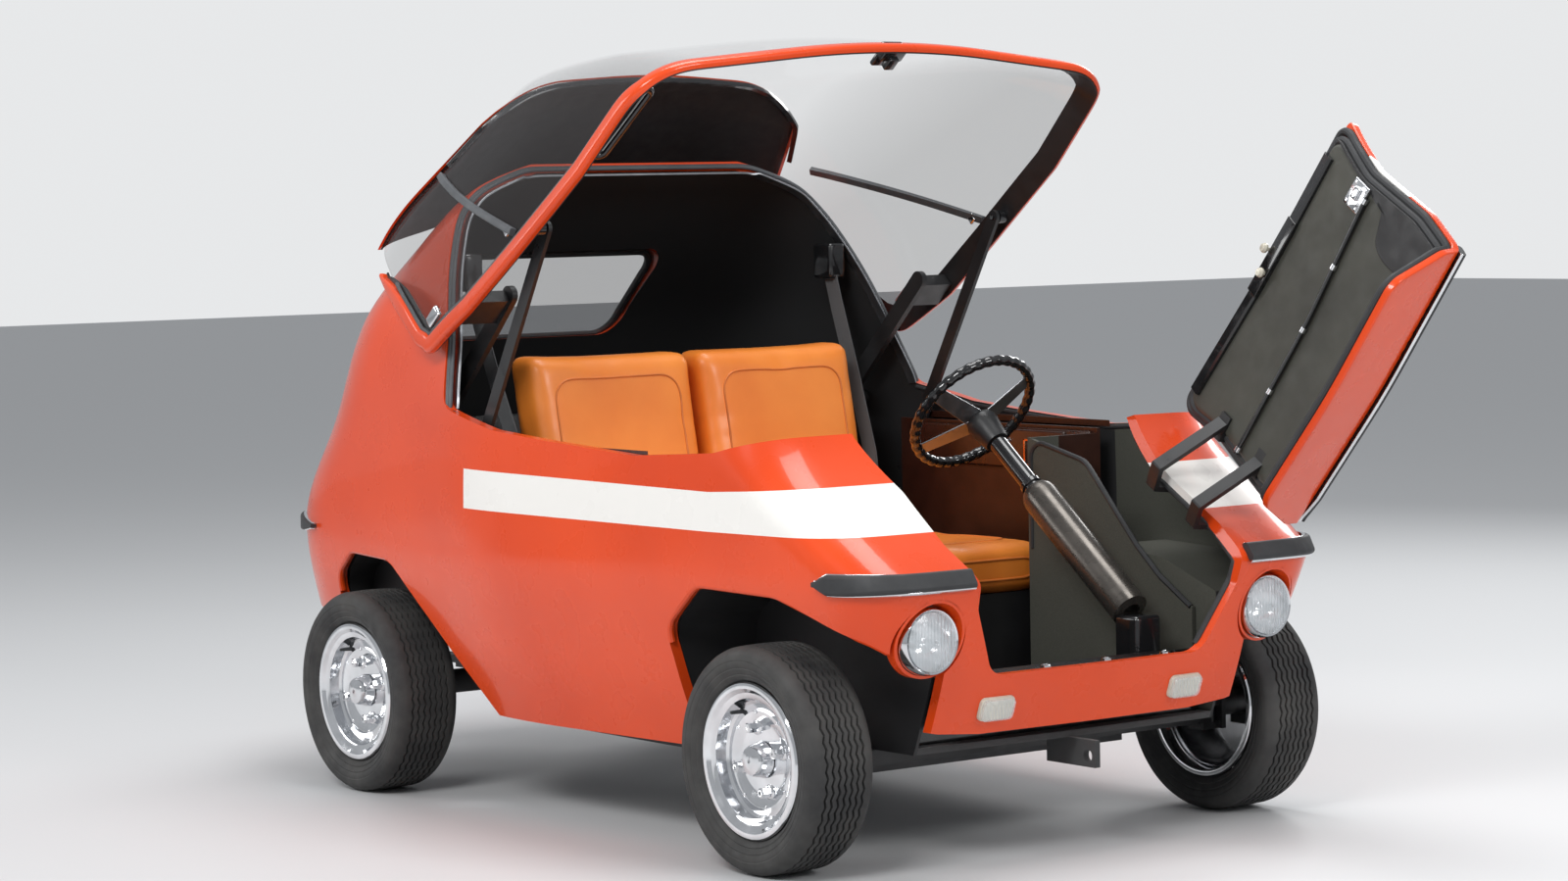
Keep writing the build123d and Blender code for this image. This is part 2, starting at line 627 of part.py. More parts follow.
def make_running_gear():
    """Axles, steered knuckles, springs, motor and battery."""
    hub_y = WHEEL_Y + RIM_W / 2 - DISH - DISC_T
    beam_low, beam_high, ear_gap = 166.0, 194.0, 0.5
    bore = rod((FRONT_X, KINGPIN_Y, 100), (FRONT_X, KINGPIN_Y, 300), KINGPIN_R + BORE_GAP)
    end = box(FRONT_X - 24, FRONT_X + 24, 0, KINGPIN_Y, beam_low, beam_high)
    end += rod((FRONT_X, KINGPIN_Y, beam_low), (FRONT_X, KINGPIN_Y, beam_high), 22)
    end += box(FRONT_X - 30, FRONT_X + 30, 220, 290, beam_high - 2, FLOOR_Z)
    end -= bore
    save("front_axle", end + mirror_y(end))
    plate_y = KINGPIN_Y + 24
    knuckle = rod((FRONT_X, KINGPIN_Y, beam_low - 16), (FRONT_X, KINGPIN_Y, beam_high + 18), KINGPIN_R)
    for z0, z1 in ((beam_low - 14, beam_low - ear_gap), (beam_high + ear_gap, beam_high + 14)):
        knuckle += box(FRONT_X - 20, FRONT_X + 20, KINGPIN_Y - 18, plate_y + 4, z0, z1)
    knuckle += box(FRONT_X - 26, FRONT_X + 26, plate_y, plate_y + 10, beam_low - 14, TYRE_R + 42)
    knuckle += rod((FRONT_X, plate_y + 8, TYRE_R), (FRONT_X, hub_y - 1, TYRE_R), 26)
    knuckle += rod((FRONT_X, hub_y - 2, TYRE_R), (FRONT_X, hub_y + 14, TYRE_R), SPINDLE_R)
    for (side, _), piece in zip(SIDES, both(knuckle)):
        save(f"knuckle_{side}", piece)
    tube = rod((REAR_X, 1 - hub_y, TYRE_R), (REAR_X, hub_y - 1, TYRE_R), AXLE_R)
    for sign in (1, -1):
        tube += rod((REAR_X, sign * (hub_y - 2), TYRE_R), (REAR_X, sign * (hub_y + 14), TYRE_R), SPINDLE_R)
    leaf_z = TYRE_R + AXLE_R + 8
    leaf = box(REAR_X - 230, REAR_X + 230, SPRING_Y - 22, SPRING_Y + 22, leaf_z, leaf_z + 12)
    saddle_z = TYRE_R + AXLE_R + SEAT_GAP
    leaf += box(REAR_X - 30, REAR_X + 30, SPRING_Y - 22, SPRING_Y + 22, saddle_z, leaf_z + 1)
    for x in (REAR_X - 218, REAR_X + 218):
        leaf += box(x - 12, x + 12, SPRING_Y - 18, SPRING_Y + 18, leaf_z + 11, REAR_FLOOR_Z)
    save("rear_springs", both(leaf))
    motor_x = REAR_X + AXLE_R + SEAT_GAP
    save("rear_axle", [tube, box(motor_x, motor_x + 200, -115, 115, 135, 275)])
    save("battery_pack", box(-300, 600, -322, 322, 139, FLOOR_Z - SEAT_GAP))


def make_floor():
    """Floor pan: the cabin's floor, the step behind the seats and the rear deck."""
    room = body_form(SKIN + SEAT_GAP)
    riser_x = REAR_FLOOR_X - FLOOR_T
    plates = [box(REAR_FLOOR_X, 1300, -900, 900, FLOOR_Z, FLOOR_Z + FLOOR_T),
              box(riser_x, REAR_FLOOR_X, -900, 900, FLOOR_Z, REAR_FLOOR_Z + FLOOR_T),
              box(-1300, riser_x, -900, 900, REAR_FLOOR_Z, REAR_FLOOR_Z + FLOOR_T)]
    wheels = []
    for corners, y in ((FRONT_ARCH, FRONT_TUB_Y - TUB_T), (REAR_ARCH, REAR_TUB_Y - TUB_T)):
        for y0, y1 in ((y, 900), (-900, -y)):
            wheels.append(grown_arch(corners, TUB_T, y0, y1))
    pan = [(plate & room).cut(*wheels) for plate in plates]
    eye = box(TOW_X - 110, TOW_X + TOW_R + 8, -TOW_T / 2, TOW_T / 2, TOW_Z - 20, FLOOR_Z)
    eye -= rod((TOW_X, -50, TOW_Z), (TOW_X, 50, TOW_Z), TOW_R)
    save("floor_pan", pan + [eye])


def make_trim():
    """Side trim, kick panels, belt ledges, toe board with the door sill, rear shelf and pedals."""
    room = body_form(SKIN + SEAT_GAP)
    trim = side_prism(TRIM_OUTLINE, CABIN_Y, CABIN_Y + TRIM_T) - grown_arch(FRONT_ARCH, TUB_T + 1, 300, 900)
    step = box(TRIM_FRONT, TRIM_FRONT + TRIM_T, KICK_Y, CABIN_Y + TRIM_T, FLOOR_Z + FLOOR_T, 690)
    kick = side_prism(KICK_OUTLINE, KICK_Y, KICK_Y + TRIM_T)
    ledge = box(-255, TRIM_FRONT, BAR_Y + BAR_T + 7, 700, 700, 712) & room
    save("cabin_trim", both((trim + step + kick) & room) + both(ledge))
    toe = box(TOE_X, TOE_X + TRIM_T, -KICK_Y + 1, KICK_Y - 1, FLOOR_Z + FLOOR_T, SILL_Z + TRIM_T)
    toe += box(TOE_X, 900, -236, 236, SILL_Z, SILL_Z + TRIM_T)
    toe = toe & room
    shelf = box(-1200, -560, -900, 900, SHELF_Z, SHELF_Z + SHELF_T) + \
        box(-561, -420, -ARM_Y + 12, ARM_Y - 12, SHELF_Z, SHELF_Z + SHELF_T)
    save("rear_shelf", shelf & room)
    pedals = []
    for y in (70, 150):
        pedal = box(736, 744, y - 26, y + 26, 262, 312) + rod((742, y, 290), (TOE_X - SEAT_GAP, y, 262), 6)
        pedals.append(pedal)
    save("door_sill", [toe] + pedals)


def make_seats():
    """Seat base, two cushions and two backs."""
    base = box(SEAT_REAR - 108, SEAT_FRONT - 25, -SEAT_HALF, SEAT_HALF, FLOOR_Z + FLOOR_T, SEAT_BASE_Z)
    save("seat_base", base)
    low_z, high_z = SEAT_BASE_Z + SEAT_GAP, SEAT_BASE_Z + CUSHION_T
    cushion = box(SEAT_REAR, SEAT_FRONT, SEAT_SPLIT, SEAT_HALF, low_z, high_z)
    save("seat_cushions", both(cushion))
    x, z = BACK_TOP
    profile = [(SEAT_REAR - SEAT_GAP, low_z), (x + BACK_T, z), (x, z), (SEAT_REAR - BACK_T, low_z)]
    save("seat_backs", both(side_prism(profile, SEAT_SPLIT, SEAT_HALF)))


def make_steering():
    """Wheel, shaft and column."""
    drop = radians(STEER_DROP)
    hub = Vector(STEER_X, STEER_Y, STEER_Z)
    along = Vector(cos(drop), 0, -sin(drop))
    plane = Plane(hub, z_dir=along)
    rim = Solid.make_torus(STEER_R, STEER_TUBE_R, plane)
    centre = Solid.make_cylinder(34, 26, Plane(hub - along * 12, z_dir=along))
    wheel = rim + centre
    for k in range(3):
        turn = radians(90 + 120 * k)
        out = plane.x_dir * cos(turn) + plane.y_dir * sin(turn)
        wheel += Solid.make_cylinder(6, STEER_R - 22, Plane(hub + out * 22, z_dir=out))
    save("steering_wheel", wheel)
    start = hub + along * 14.5
    column = Solid.make_cylinder(COLUMN_R, COLUMN_L, Plane(start, z_dir=along))
    column += box(TOE_X - 62, TOE_X - SEAT_GAP, STEER_Y - 32, STEER_Y + 32, 236, 392)
    save("steering_column", column)


def main():
    os.makedirs("parts", exist_ok=True)
    outer = body_form(0)
    make_body(body_shell(), outer)
    make_lamps()
    make_strips()
    make_hoop()
    make_tubs()
    make_floor()
    make_trim()
    make_canopy()
    make_canopy_fittings()
    make_door(outer)
    make_door_hinges()
    make_wheels()
    make_running_gear()
    make_seats()
    make_steering()


main()
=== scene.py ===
import json
from math import ceil, cos, pi, radians, sin, sqrt, tan

import bmesh
import bpy
import numpy as np
from mathutils import Matrix, Vector

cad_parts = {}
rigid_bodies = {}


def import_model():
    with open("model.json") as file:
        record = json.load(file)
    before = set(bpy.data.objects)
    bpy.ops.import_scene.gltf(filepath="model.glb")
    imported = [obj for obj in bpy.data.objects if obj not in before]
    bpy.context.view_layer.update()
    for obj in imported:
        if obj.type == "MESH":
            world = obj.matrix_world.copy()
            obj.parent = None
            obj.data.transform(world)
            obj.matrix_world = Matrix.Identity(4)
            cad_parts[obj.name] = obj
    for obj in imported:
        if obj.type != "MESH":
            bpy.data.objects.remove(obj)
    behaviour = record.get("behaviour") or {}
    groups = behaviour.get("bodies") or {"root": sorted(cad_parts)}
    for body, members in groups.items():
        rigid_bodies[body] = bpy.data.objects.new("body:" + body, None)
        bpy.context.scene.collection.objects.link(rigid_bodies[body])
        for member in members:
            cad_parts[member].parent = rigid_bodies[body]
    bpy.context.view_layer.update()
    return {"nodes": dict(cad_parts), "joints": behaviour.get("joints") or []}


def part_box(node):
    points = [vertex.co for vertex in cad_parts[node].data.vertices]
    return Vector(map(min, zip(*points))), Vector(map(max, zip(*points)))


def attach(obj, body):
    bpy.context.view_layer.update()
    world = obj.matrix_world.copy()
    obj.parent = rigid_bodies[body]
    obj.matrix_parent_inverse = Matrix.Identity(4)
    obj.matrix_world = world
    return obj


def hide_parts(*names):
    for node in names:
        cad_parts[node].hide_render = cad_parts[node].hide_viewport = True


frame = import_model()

# Looks of the electric microcar. Sizes are in millimetres in the car's own stations: +X forward from the
# middle of the wheelbase, +Y left, +Z up from the floor. Skins are drawn closed, and the canopy and the
# front door are then turned to where they stand open.
MM = 0.001


def centre_of(node):
    """Middle of a CAD node's box, in millimetres."""
    low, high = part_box(node)
    return np.array((low + high) / 2) / MM


ORIGIN_X = (centre_of("tyre_front_left")[0] + centre_of("tyre_rear_left")[0]) / 2
JOINTS = {joint["name"]: joint for joint in frame["joints"]}

# Level sections of the body, without the canopy:
# z, front, front_half, middle_half, rear_half, rear, front_radius, middle_radius, rear_radius
BODY_TABLE = [
    (175, 838, 430, 512, 400, -1115, 120, 1200, 300),
    (330, 895, 480, 564, 455, -1180, 110, 1200, 350),
    (505, 948, 525, 602, 480, -1200, 110, 1200, 380),
    (735, 640, 548, 592, 480, -1040, 120, 1200, 360),
    (920, 530, 460, 540, 495, -920, 120, 900, 330),
    (1080, 330, 390, 488, 452, -725, 100, 700, 280),
    (1180, 150, 320, 420, 392, -590, 90, 500, 210),
    (1229, 0, 230, 322, 296, -490, 70, 250, 120)]
# The same columns for the closed canopy
CANOPY_TABLE = [
    (700, 612, 556, 596, 560, -900, 120, 1200, 200),
    (900, 443, 492, 570, 525, -860, 120, 900, 200),
    (1060, 240, 430, 522, 480, -830, 105, 700, 190),
    (1180, 67, 345, 455, 420, -800, 90, 500, 160),
    (1262, -88, 150, 250, 200, -760, 60, 150, 60)]
CREASE_Z = 505.0
CREASE_SOFT = 14.0
BODY_BOW = 0.03
CANOPY_BOW = 0.14
TAIL_BOW = 0.035
BOW_ROUND = 3.0
SKIN = 20.0
RING_POINTS = 280

HEM_Z = 183.0
NOSE_HEM = [(-900, 275), (-480, 270), (-330, 240), (-240, 232), (240, 232), (330, 240), (480, 270), (900, 275)]
TAIL_HEM_Z = 335.0
TAIL_HEM_X = -700.0
SEAM = 6.0
BELT_LINE = [(-299, 779), (-115, 743), (61, 729), (317, 713), (539, 725), (655, 755), (760, 800)]
HOOP_LINE = [(-476, 1300), (-470, 1229), (-447, 1140), (-410, 1060), (-374, 980), (-340, 900), (-299, 779)]
ROOF_LINE = [(-620, 1168), (-90, 1178), (22, 1232), (40, 1300), (-620, 1300)]
DIVISION = ((89, 768), (-179, 1134))
DOOR_OUTLINE = [(241, 336), (297, 455), (300, 500), (314, 560), (303, 645), (327, 735), (330, 830)]
FRONT_ARCH = [(376, 60, 1), (372, 405, 60), (480, 486, 60), (690, 480, 120), (885, 408, 60), (935, 330, 25),
              (905, 60, 1)]
REAR_ARCH = [(-815, 60, 1), (-832, 415, 60), (-745, 470, 60), (-560, 466, 90), (-395, 330, 120),
             (-240, 180, 30), (-240, 60, 1)]
FRONT_TUB_Y = 345.0
REAR_TUB_Y = 425.0

# White stripe round the nose: start along X, and (x, z) of its edges
STRIPE_START = -210.0
STRIPE_TOP = ((-210, 660), (525, 650), (915, 670))
STRIPE_FOOT = ((-210, 586), (525, 581), (915, 583))

# Depths of the canopy glass under its form
PANE = (9.2, 13.0)

# Steering wheel: middle of the rim, slope of the column, rim radius, turn of each spoke and the hub's depth
STEER_AT = (300.0, 225.0, 743.0)
STEER_DROP = 38.3
STEER_R = 126.0
SPOKES = (36, 156, 226)
HUB_DISH = 26.0

# Bumper strips: height, and where the front and rear ones end
STRIP_Z = 508.0
STRIP_FRONT_Y = 309
STRIP_FRONT_X = 803
STRIP_REAR_X = -903

# Turn signals on the nose
SIGNAL_Y = 217.0
SIGNAL_Z = 277.0

# Edge of the kick panels (x, z) with corner radii, their place across, and the door opening's edge (y, z)
KICK_EDGE = [(345, 480, 1), (345, 688, 30), (500, 652, 60), (640, 503, 40), (702, 450, 30), (784, 400, 1)]
KICK_Y = 330.0
OPENING_EDGE = [(243, 341, 1), (297, 455, 30), (300, 500, 30), (314, 560, 30), (303, 645, 30), (322, 716, 1)]

# Seat belt on the left side, from its retractor down to the seat
BELT_ROUTE = [(-420, 438, 1010), (-392, 436, 930), (-330, 430, 780), (-262, 418, 620), (-236, 408, 520)]

# Seats: side-view outlines (x, z) and how far the simulation may swell them
CUSHION = [(-184, 398), (326, 398), (326, 484), (-184, 484)]
BACK = [(-196, 402), (-288, 860), (-380, 860), (-284, 402)]
SEAT_INNER = 6
SEAT_OUTER = 392
SWELL = 7

# Long rod on the door's lining: its ends across, height at the hinge side, rise across and the clips on it
ROD_ENDS = (276, -262)
ROD_Z = 606.0
ROD_RISE = 0.038
ROD_CLIPS = (266, 141, 10, -119, -250)

# Camera fitted to the photograph
FOCAL_LENGTH = 89.38
CAMERA_AT = (5981.9, -4448.3, 1159.2)
CAMERA_YAW = 2.502
CAMERA_PITCH = -0.063
CAMERA_ROLL = -0.02

SIDES = (("left", 1), ("right", -1))


def monotone(xs, ys, x):
    """Value at x of a monotone cubic through the points."""
    xs, ys = np.array(xs, float), np.array(ys, float)
    run = np.diff(xs)
    slope = np.diff(ys) / run
    grade = np.zeros(len(xs))
    grade[0], grade[-1] = slope[0], slope[-1]
    for k in range(1, len(xs) - 1):
        if slope[k - 1] * slope[k] > 0:
            a, b = 2 * run[k] + run[k - 1], run[k] + 2 * run[k - 1]
            grade[k] = (a + b) / (a / slope[k - 1] + b / slope[k])
    k = int(np.clip(np.searchsorted(xs, x, side="right") - 1, 0, len(run) - 1))
    t = (x - xs[k]) / run[k]
    start, end = (1 + 2 * t) * (1 - t) ** 2, t * t * (3 - 2 * t)
    return start * ys[k] + end * ys[k + 1] + run[k] * t * (1 - t) * ((1 - t) * grade[k] - t * grade[k + 1])


def rounded(corners, step=8.0, closed=True):
    """Points along straight runs and tangent arcs, from corners of (a, b, radius)."""
    points = [np.array(c[:2], float) for c in corners]
    count = len(points)
    found = []
    for k, (_, _, radius) in enumerate(corners):
        if not closed and k in (0, count - 1):
            found.append(points[k])
            continue
        back = points[k - 1] - points[k]
        ahead = points[(k + 1) % count] - points[k]
        back, ahead = back / np.linalg.norm(back), ahead / np.linalg.norm(ahead)
        half = np.arccos(np.clip(back @ ahead, -1, 1)) / 2
        if half > pi / 2 - 0.01 or radius < 2:
            found.append(points[k])
            continue
        middle = (back + ahead) / np.linalg.norm(back + ahead)
        centre = points[k] + middle * radius / sin(half)
        start = points[k] + back * radius / tan(half) - centre
        turn = pi - 2 * half
        sign = 1 if back[0] * ahead[1] - back[1] * ahead[0] < 0 else -1
        pieces = 2 * max(1, ceil(turn * radius / step / 2))
        for j in range(pieces + 1):
            a = sign * turn * j / pieces
            turned = (start[0] * cos(a) - start[1] * sin(a), start[0] * sin(a) + start[1] * cos(a))
            found.append(centre + turned)
    return np.array(found)


def resampled(points, count, closed=False):
    """The same line with evenly spaced points."""
    line = np.vstack([points, points[:1]]) if closed else np.asarray(points, float)
    place = np.concatenate([[0], np.cumsum(np.linalg.norm(np.diff(line, axis=0), axis=1))])
    wanted = np.linspace(0, place[-1], count + 1)[:-1] if closed else np.linspace(0, place[-1], count)
    return np.stack([np.interp(wanted, place, line[:, k]) for k in range(line.shape[1])], 1)


def loft(rings):
    """Closed mesh over equal rings of points, flat at both ends."""
    count = len(rings[0])
    faces = []
    for i in range(len(rings) - 1):
        a, b = i * count, (i + 1) * count
        faces += [(a + k, a + (k + 1) % count, b + (k + 1) % count, b + k) for k in range(count)]
    last = len(rings) * count - 1
    faces += [tuple(range(count)), tuple(range(last, last - count, -1))]
    return np.vstack(rings), faces


def traced(pick, spots):
    """Points and normals that a skin's pick gives for each spot."""
    found = [pick(*spot) for spot in spots]
    return np.array([point for point, _ in found]), np.array([normal for _, normal in found])


def across_of(line, outs):
    """Unit vectors across a line that lies on a skin with these normals."""
    across = np.cross(np.gradient(line, axis=0), outs)
    return across / np.linalg.norm(across, axis=1, keepdims=True)


def table_row(table, z):
    """The section table's columns at a height; a crease in the front column is softened."""
    levels = [row[0] for row in table]
    values = [monotone(levels, [row[k] for row in table], z) for k in range(1, 9)]
    if levels[0] < CREASE_Z < levels[-1] - 400 and CREASE_Z in levels:
        at = levels.index(CREASE_Z)
        low, high = table[:at + 1], table[at:]
        heights = z + np.linspace(-CREASE_SOFT, CREASE_SOFT, 9)
        fronts = []
        for height in heights:
            part = low if height < CREASE_Z else high
            fronts.append(monotone([row[0] for row in part], [row[1] for row in part], height))
        values[0] = float(np.mean(fronts))
    return values


def ring(values, bow):
    """Closed outline of one level section, from the middle of the front round by the left."""
    front, front_half, middle_half, rear_half, rear, front_r, middle_r, rear_r = values
    middle = (front + rear) / 2
    half = [(front + bow * front_half, 0, BOW_ROUND * front_half), (front, front_half, front_r),
            (middle, middle_half, middle_r), (rear, rear_half, rear_r),
            (rear - TAIL_BOW * rear_half, 0, BOW_ROUND * rear_half)]
    outline = rounded(half + [(x, -y, r) for x, y, r in half[3:0:-1]], step=6)
    start = int(np.argmin(np.abs(outline[:, 1]) + 1e4 * (outline[:, 0] < 0)))
    points = resampled(np.roll(outline, -start, axis=0), RING_POINTS, closed=True)
    for _ in range(2):
        points = (np.roll(points, 1, 0) + 2 * points + np.roll(points, -1, 0)) / 4
    return points


class Form:
    """A skin through level sections, held as rings of points with their normals."""

    def __init__(self, table, levels, bow):
        self.levels = np.array(levels, float)
        flat = [ring(table_row(table, z), bow) for z in levels]
        self.points = np.array([np.column_stack([p, np.full(len(p), z)]) for p, z in zip(flat, levels)])
        along = np.roll(self.points, -1, 1) - np.roll(self.points, 1, 1)
        up = np.gradient(self.points, axis=0)
        normals = np.cross(along, up)
        self.normals = normals / np.linalg.norm(normals, axis=2, keepdims=True)

    def level(self, z):
        """Points and normals of the ring at a height."""
        k = int(np.clip(np.searchsorted(self.levels, z) - 1, 0, len(self.levels) - 2))
        t = (z - self.levels[k]) / (self.levels[k + 1] - self.levels[k])
        return ((1 - t) * grid[k] + t * grid[k + 1] for grid in (self.points, self.normals))

    def pick(self, z, place, sign):
        """Point and normal at a place along the left half of the ring, mirrored to the right by sign."""
        points, normals = self.level(z)
        k = np.arange(len(points) // 2 + 1)
        point = np.array([np.interp(place, k, points[k, j]) for j in range(3)])
        normal = np.array([np.interp(place, k, normals[k, j]) for j in range(3)])
        turn = np.array((1, sign, 1))
        return point * turn, normal / np.linalg.norm(normal) * turn

    def side(self, x, z, sign=1):
        """Point on the left or right side that shows at (x, z) in side view."""
        points, _ = self.level(z)
        half = points[:len(points) // 2 + 1]
        return self.pick(z, np.interp(-x, -half[:, 0], np.arange(len(half))), sign)

    def front(self, y, z):
        """Point on the nose that shows at (y, z) in front view."""
        points, _ = self.level(z)
        half = points[:int(np.argmax(points[:, 1])) + 1]
        return self.pick(z, np.interp(abs(y), half[:, 1], np.arange(len(half))), 1 if y >= 0 else -1)

    def offset(self, wall, foot=0.0):
        """Closed mesh of the skin moved in by a wall, with its foot raised."""
        grid = self.points - self.normals * wall
        grid[0, :, 2] = self.levels[0] + foot
        top = grid[-1]
        middle = top.mean(0)
        extra = []
        for share in (0.25, 0.5, 0.75):
            lifted = middle + (top - middle) * (1 - share)
            lifted[:, 2] = top[:, 2]
            extra.append(lifted)
        grid = np.concatenate([grid, np.array(extra)])
        levels, count = grid.shape[:2]
        faces = []
        for level in range(levels - 1):
            for k in range(count):
                a, b = level * count + k, level * count + (k + 1) % count
                faces.append((a, b, b + count, a + count))
        points = np.vstack([grid.reshape(-1, 3), grid[0].mean(0), middle])
        low, high = levels * count, levels * count + 1
        last = (levels - 1) * count
        faces += [(low, (k + 1) % count, k) for k in range(count)]
        faces += [(high, last + k, last + (k + 1) % count) for k in range(count)]
        return points, faces


def hinge_turn(joint, degrees):
    """Function that turns points about a joint's axis."""
    at = np.array(JOINTS[joint]["pos_m"]) / MM - (ORIGIN_X, 0, 0)
    spin = np.array(Matrix.Rotation(radians(degrees), 3, Vector(JOINTS[joint]["axis"])))
    return lambda points: (np.asarray(points, float) - at) @ spin.T + at


open_canopy = hinge_turn("canopy_hinge", -JOINTS["canopy_hinge"]["range_deg"][1])
open_door = hinge_turn("front_door_hinge", -JOINTS["front_door_hinge"]["range_deg"][1])


class Shape:
    """Points and faces of one piece, put together from simple forms, each with a material's number."""

    def __init__(self):
        self.points, self.faces, self.marks, self.count = [], [], [], 0

    def add(self, points, faces, mark=0):
        points = np.asarray(points, float)
        self.points.append(points)
        self.faces += [tuple(int(k) + self.count for k in face) for face in faces]
        self.marks += [mark] * len(faces)
        self.count += len(points)
        return self

    def shell(self, outer, inner, inner_mark=0):
        """A closed skin with a hollow in it."""
        self.add(*outer)
        points, faces = inner
        return self.add(points, [face[::-1] for face in faces], inner_mark)

    def prism(self, outline, low, high, view="side"):
        """Prism over an outline in side view (x, z), front view (y, z) or from above (x, y)."""
        flat = np.asarray(outline, float)
        count = len(flat)
        order = {"side": (0, 2, 1), "front": (2, 0, 1), "above": (0, 1, 2)}[view]
        ends = [np.column_stack([flat, np.full(count, level)])[:, order] for level in (low, high)]
        faces = [tuple(range(count)), tuple(range(2 * count - 1, count - 1, -1))]
        faces += [(k, (k + 1) % count, (k + 1) % count + count, k + count) for k in range(count)]
        return self.add(np.vstack(ends), faces)

    def sweep(self, path, across, out, profile, closed=False):
        """A profile of (across, out) places, swept along a path with a frame for each point."""
        path, across, out = (np.asarray(v, float) for v in (path, across, out))
        profile = np.asarray(profile, float)
        if profile.ndim == 2:
            profile = np.repeat(profile[None], len(path), 0)
        count = profile.shape[1]
        points = path[:, None] + profile[:, :, :1] * across[:, None] + profile[:, :, 1:] * out[:, None]
        faces = []
        steps = len(path) if closed else len(path) - 1
        for i in range(steps):
            for k in range(count):
                a, b = i * count, (i + 1) % len(path) * count
                faces.append((a + k, a + (k + 1) % count, b + (k + 1) % count, b + k))
        if not closed:
            faces += [tuple(range(count)), tuple(range(len(path) * count - 1, (len(path) - 1) * count - 1, -1))]
        return self.add(points.reshape(-1, 3), faces)

    def pipe(self, path, radius, closed=False, sides=12):
        """Round bar along a path; the radius may change along it."""
        path = np.asarray(path, float)
        along = np.gradient(path, axis=0) if not closed else np.roll(path, -1, 0) - np.roll(path, 1, 0)
        along /= np.linalg.norm(along, axis=1, keepdims=True)
        side = np.cross(along[0], (0, 0, 1) if abs(along[0][2]) < 0.9 else (1, 0, 0))
        sides_of, ups = [], []
        for step in along:
            side = side - (side @ step) * step
            side /= np.linalg.norm(side)
            sides_of.append(side)
            ups.append(np.cross(step, side))
        turn = np.linspace(0, 2 * pi, sides, endpoint=False)
        circle = np.column_stack([np.cos(turn), np.sin(turn)])
        radii = np.broadcast_to(np.asarray(radius, float), (len(path),))
        profile = circle[None] * radii[:, None, None]
        return self.sweep(path, sides_of, ups, profile, closed)

    def lathe(self, profile, at, axis, segments=48):
        """Solid of revolution from (radius, place along the axis)."""
        axis = np.asarray(axis, float) / np.linalg.norm(axis)
        side = np.cross(axis, (0, 0, 1) if abs(axis[2]) < 0.9 else (1, 0, 0))
        side /= np.linalg.norm(side)
        up = np.cross(axis, side)
        turn = np.linspace(0, 2 * pi, segments, endpoint=False)
        spokes = np.cos(turn)[:, None] * side + np.sin(turn)[:, None] * up
        rings = [np.asarray(at) + r * spokes + a * axis for r, a in profile]
        faces = []
        for i in range(len(profile)):
            low, high = i * segments, (i + 1) % len(profile) * segments
            faces += [(low + k, low + (k + 1) % segments, high + (k + 1) % segments, high + k)
                      for k in range(segments)]
        return self.add(np.vstack(rings), faces)

    def block(self, low, high, radius=3.0, turn=None):
        """Box with rounded edges between two corners."""
        mesh = bmesh.new()
        bmesh.ops.create_cube(mesh, size=1)
        size, middle = np.subtract(high, low), np.add(low, high) / 2
        for vertex in mesh.verts:
            vertex.co = Vector(np.array(vertex.co) * size + middle)
        bmesh.ops.bevel(mesh, geom=mesh.edges[:], offset=radius, segments=3, profile=0.5, affect="EDGES")
        points = np.array([vertex.co for vertex in mesh.verts])
        faces = [[vertex.index for vertex in face.verts] for face in mesh.faces]
        mesh.free()
        return self.add(points if turn is None else turn(points), faces)

    def mirrored(self):
        """The same forms again on the other side of the car."""
        count, total = self.count, len(self.faces)
        self.points.append(np.vstack(self.points) * (1, -1, 1))
        self.faces += [tuple(k + count for k in face)[::-1] for face in self.faces[:total]]
        self.marks += self.marks[:total]
        self.count *= 2
        return self

    def raw(self, name, materials=()):
        """A Blender object in the car's stations, in millimetres."""
        mesh = bpy.data.meshes.new(name)
        mesh.from_pydata(np.vstack(self.points).tolist(), [], self.faces)
        for material in materials:
            mesh.materials.append(material)
        mesh.polygons.foreach_set("material_index", self.marks)
        obj = bpy.data.objects.new(name, mesh)
        bpy.context.scene.collection.objects.link(obj)
        return obj


def tidy_mesh(obj):
    """Merge doubled points and face every side outwards."""
    mesh = bmesh.new()
    mesh.from_mesh(obj.data)
    bmesh.ops.remove_doubles(mesh, verts=mesh.verts, dist=0.02)
    bmesh.ops.dissolve_degenerate(mesh, edges=mesh.edges, dist=0.01)
    bmesh.ops.recalc_face_normals(mesh, faces=mesh.faces)
    mesh.to_mesh(obj.data)
    mesh.free()


def freeze(obj):
    """Replace a piece's mesh with what its modifiers make of it."""
    bpy.context.view_layer.update()
    graph = bpy.context.evaluated_depsgraph_get()
    mesh = bpy.data.meshes.new_from_object(obj.evaluated_get(graph))
    obj.modifiers.clear()
    old, obj.data = obj.data, mesh
    bpy.data.meshes.remove(old)


def carve(obj, cutters, operation="DIFFERENCE"):
    """Cut closed shapes out of a piece, or keep only what lies in them."""
    helpers = []
    for k, cutter in enumerate(cutters):
        helper = cutter.raw(f"cutter_{k}")
        tidy_mesh(helper)
        helper.hide_render = True
        helpers.append(helper)
        modifier = obj.modifiers.new("cut", "BOOLEAN")
        modifier.operation = operation
        modifier.solver = "EXACT"
        modifier.object = helper
    freeze(obj)
    for helper in helpers:
        mesh = helper.data
        bpy.data.objects.remove(helper)
        bpy.data.meshes.remove(mesh)


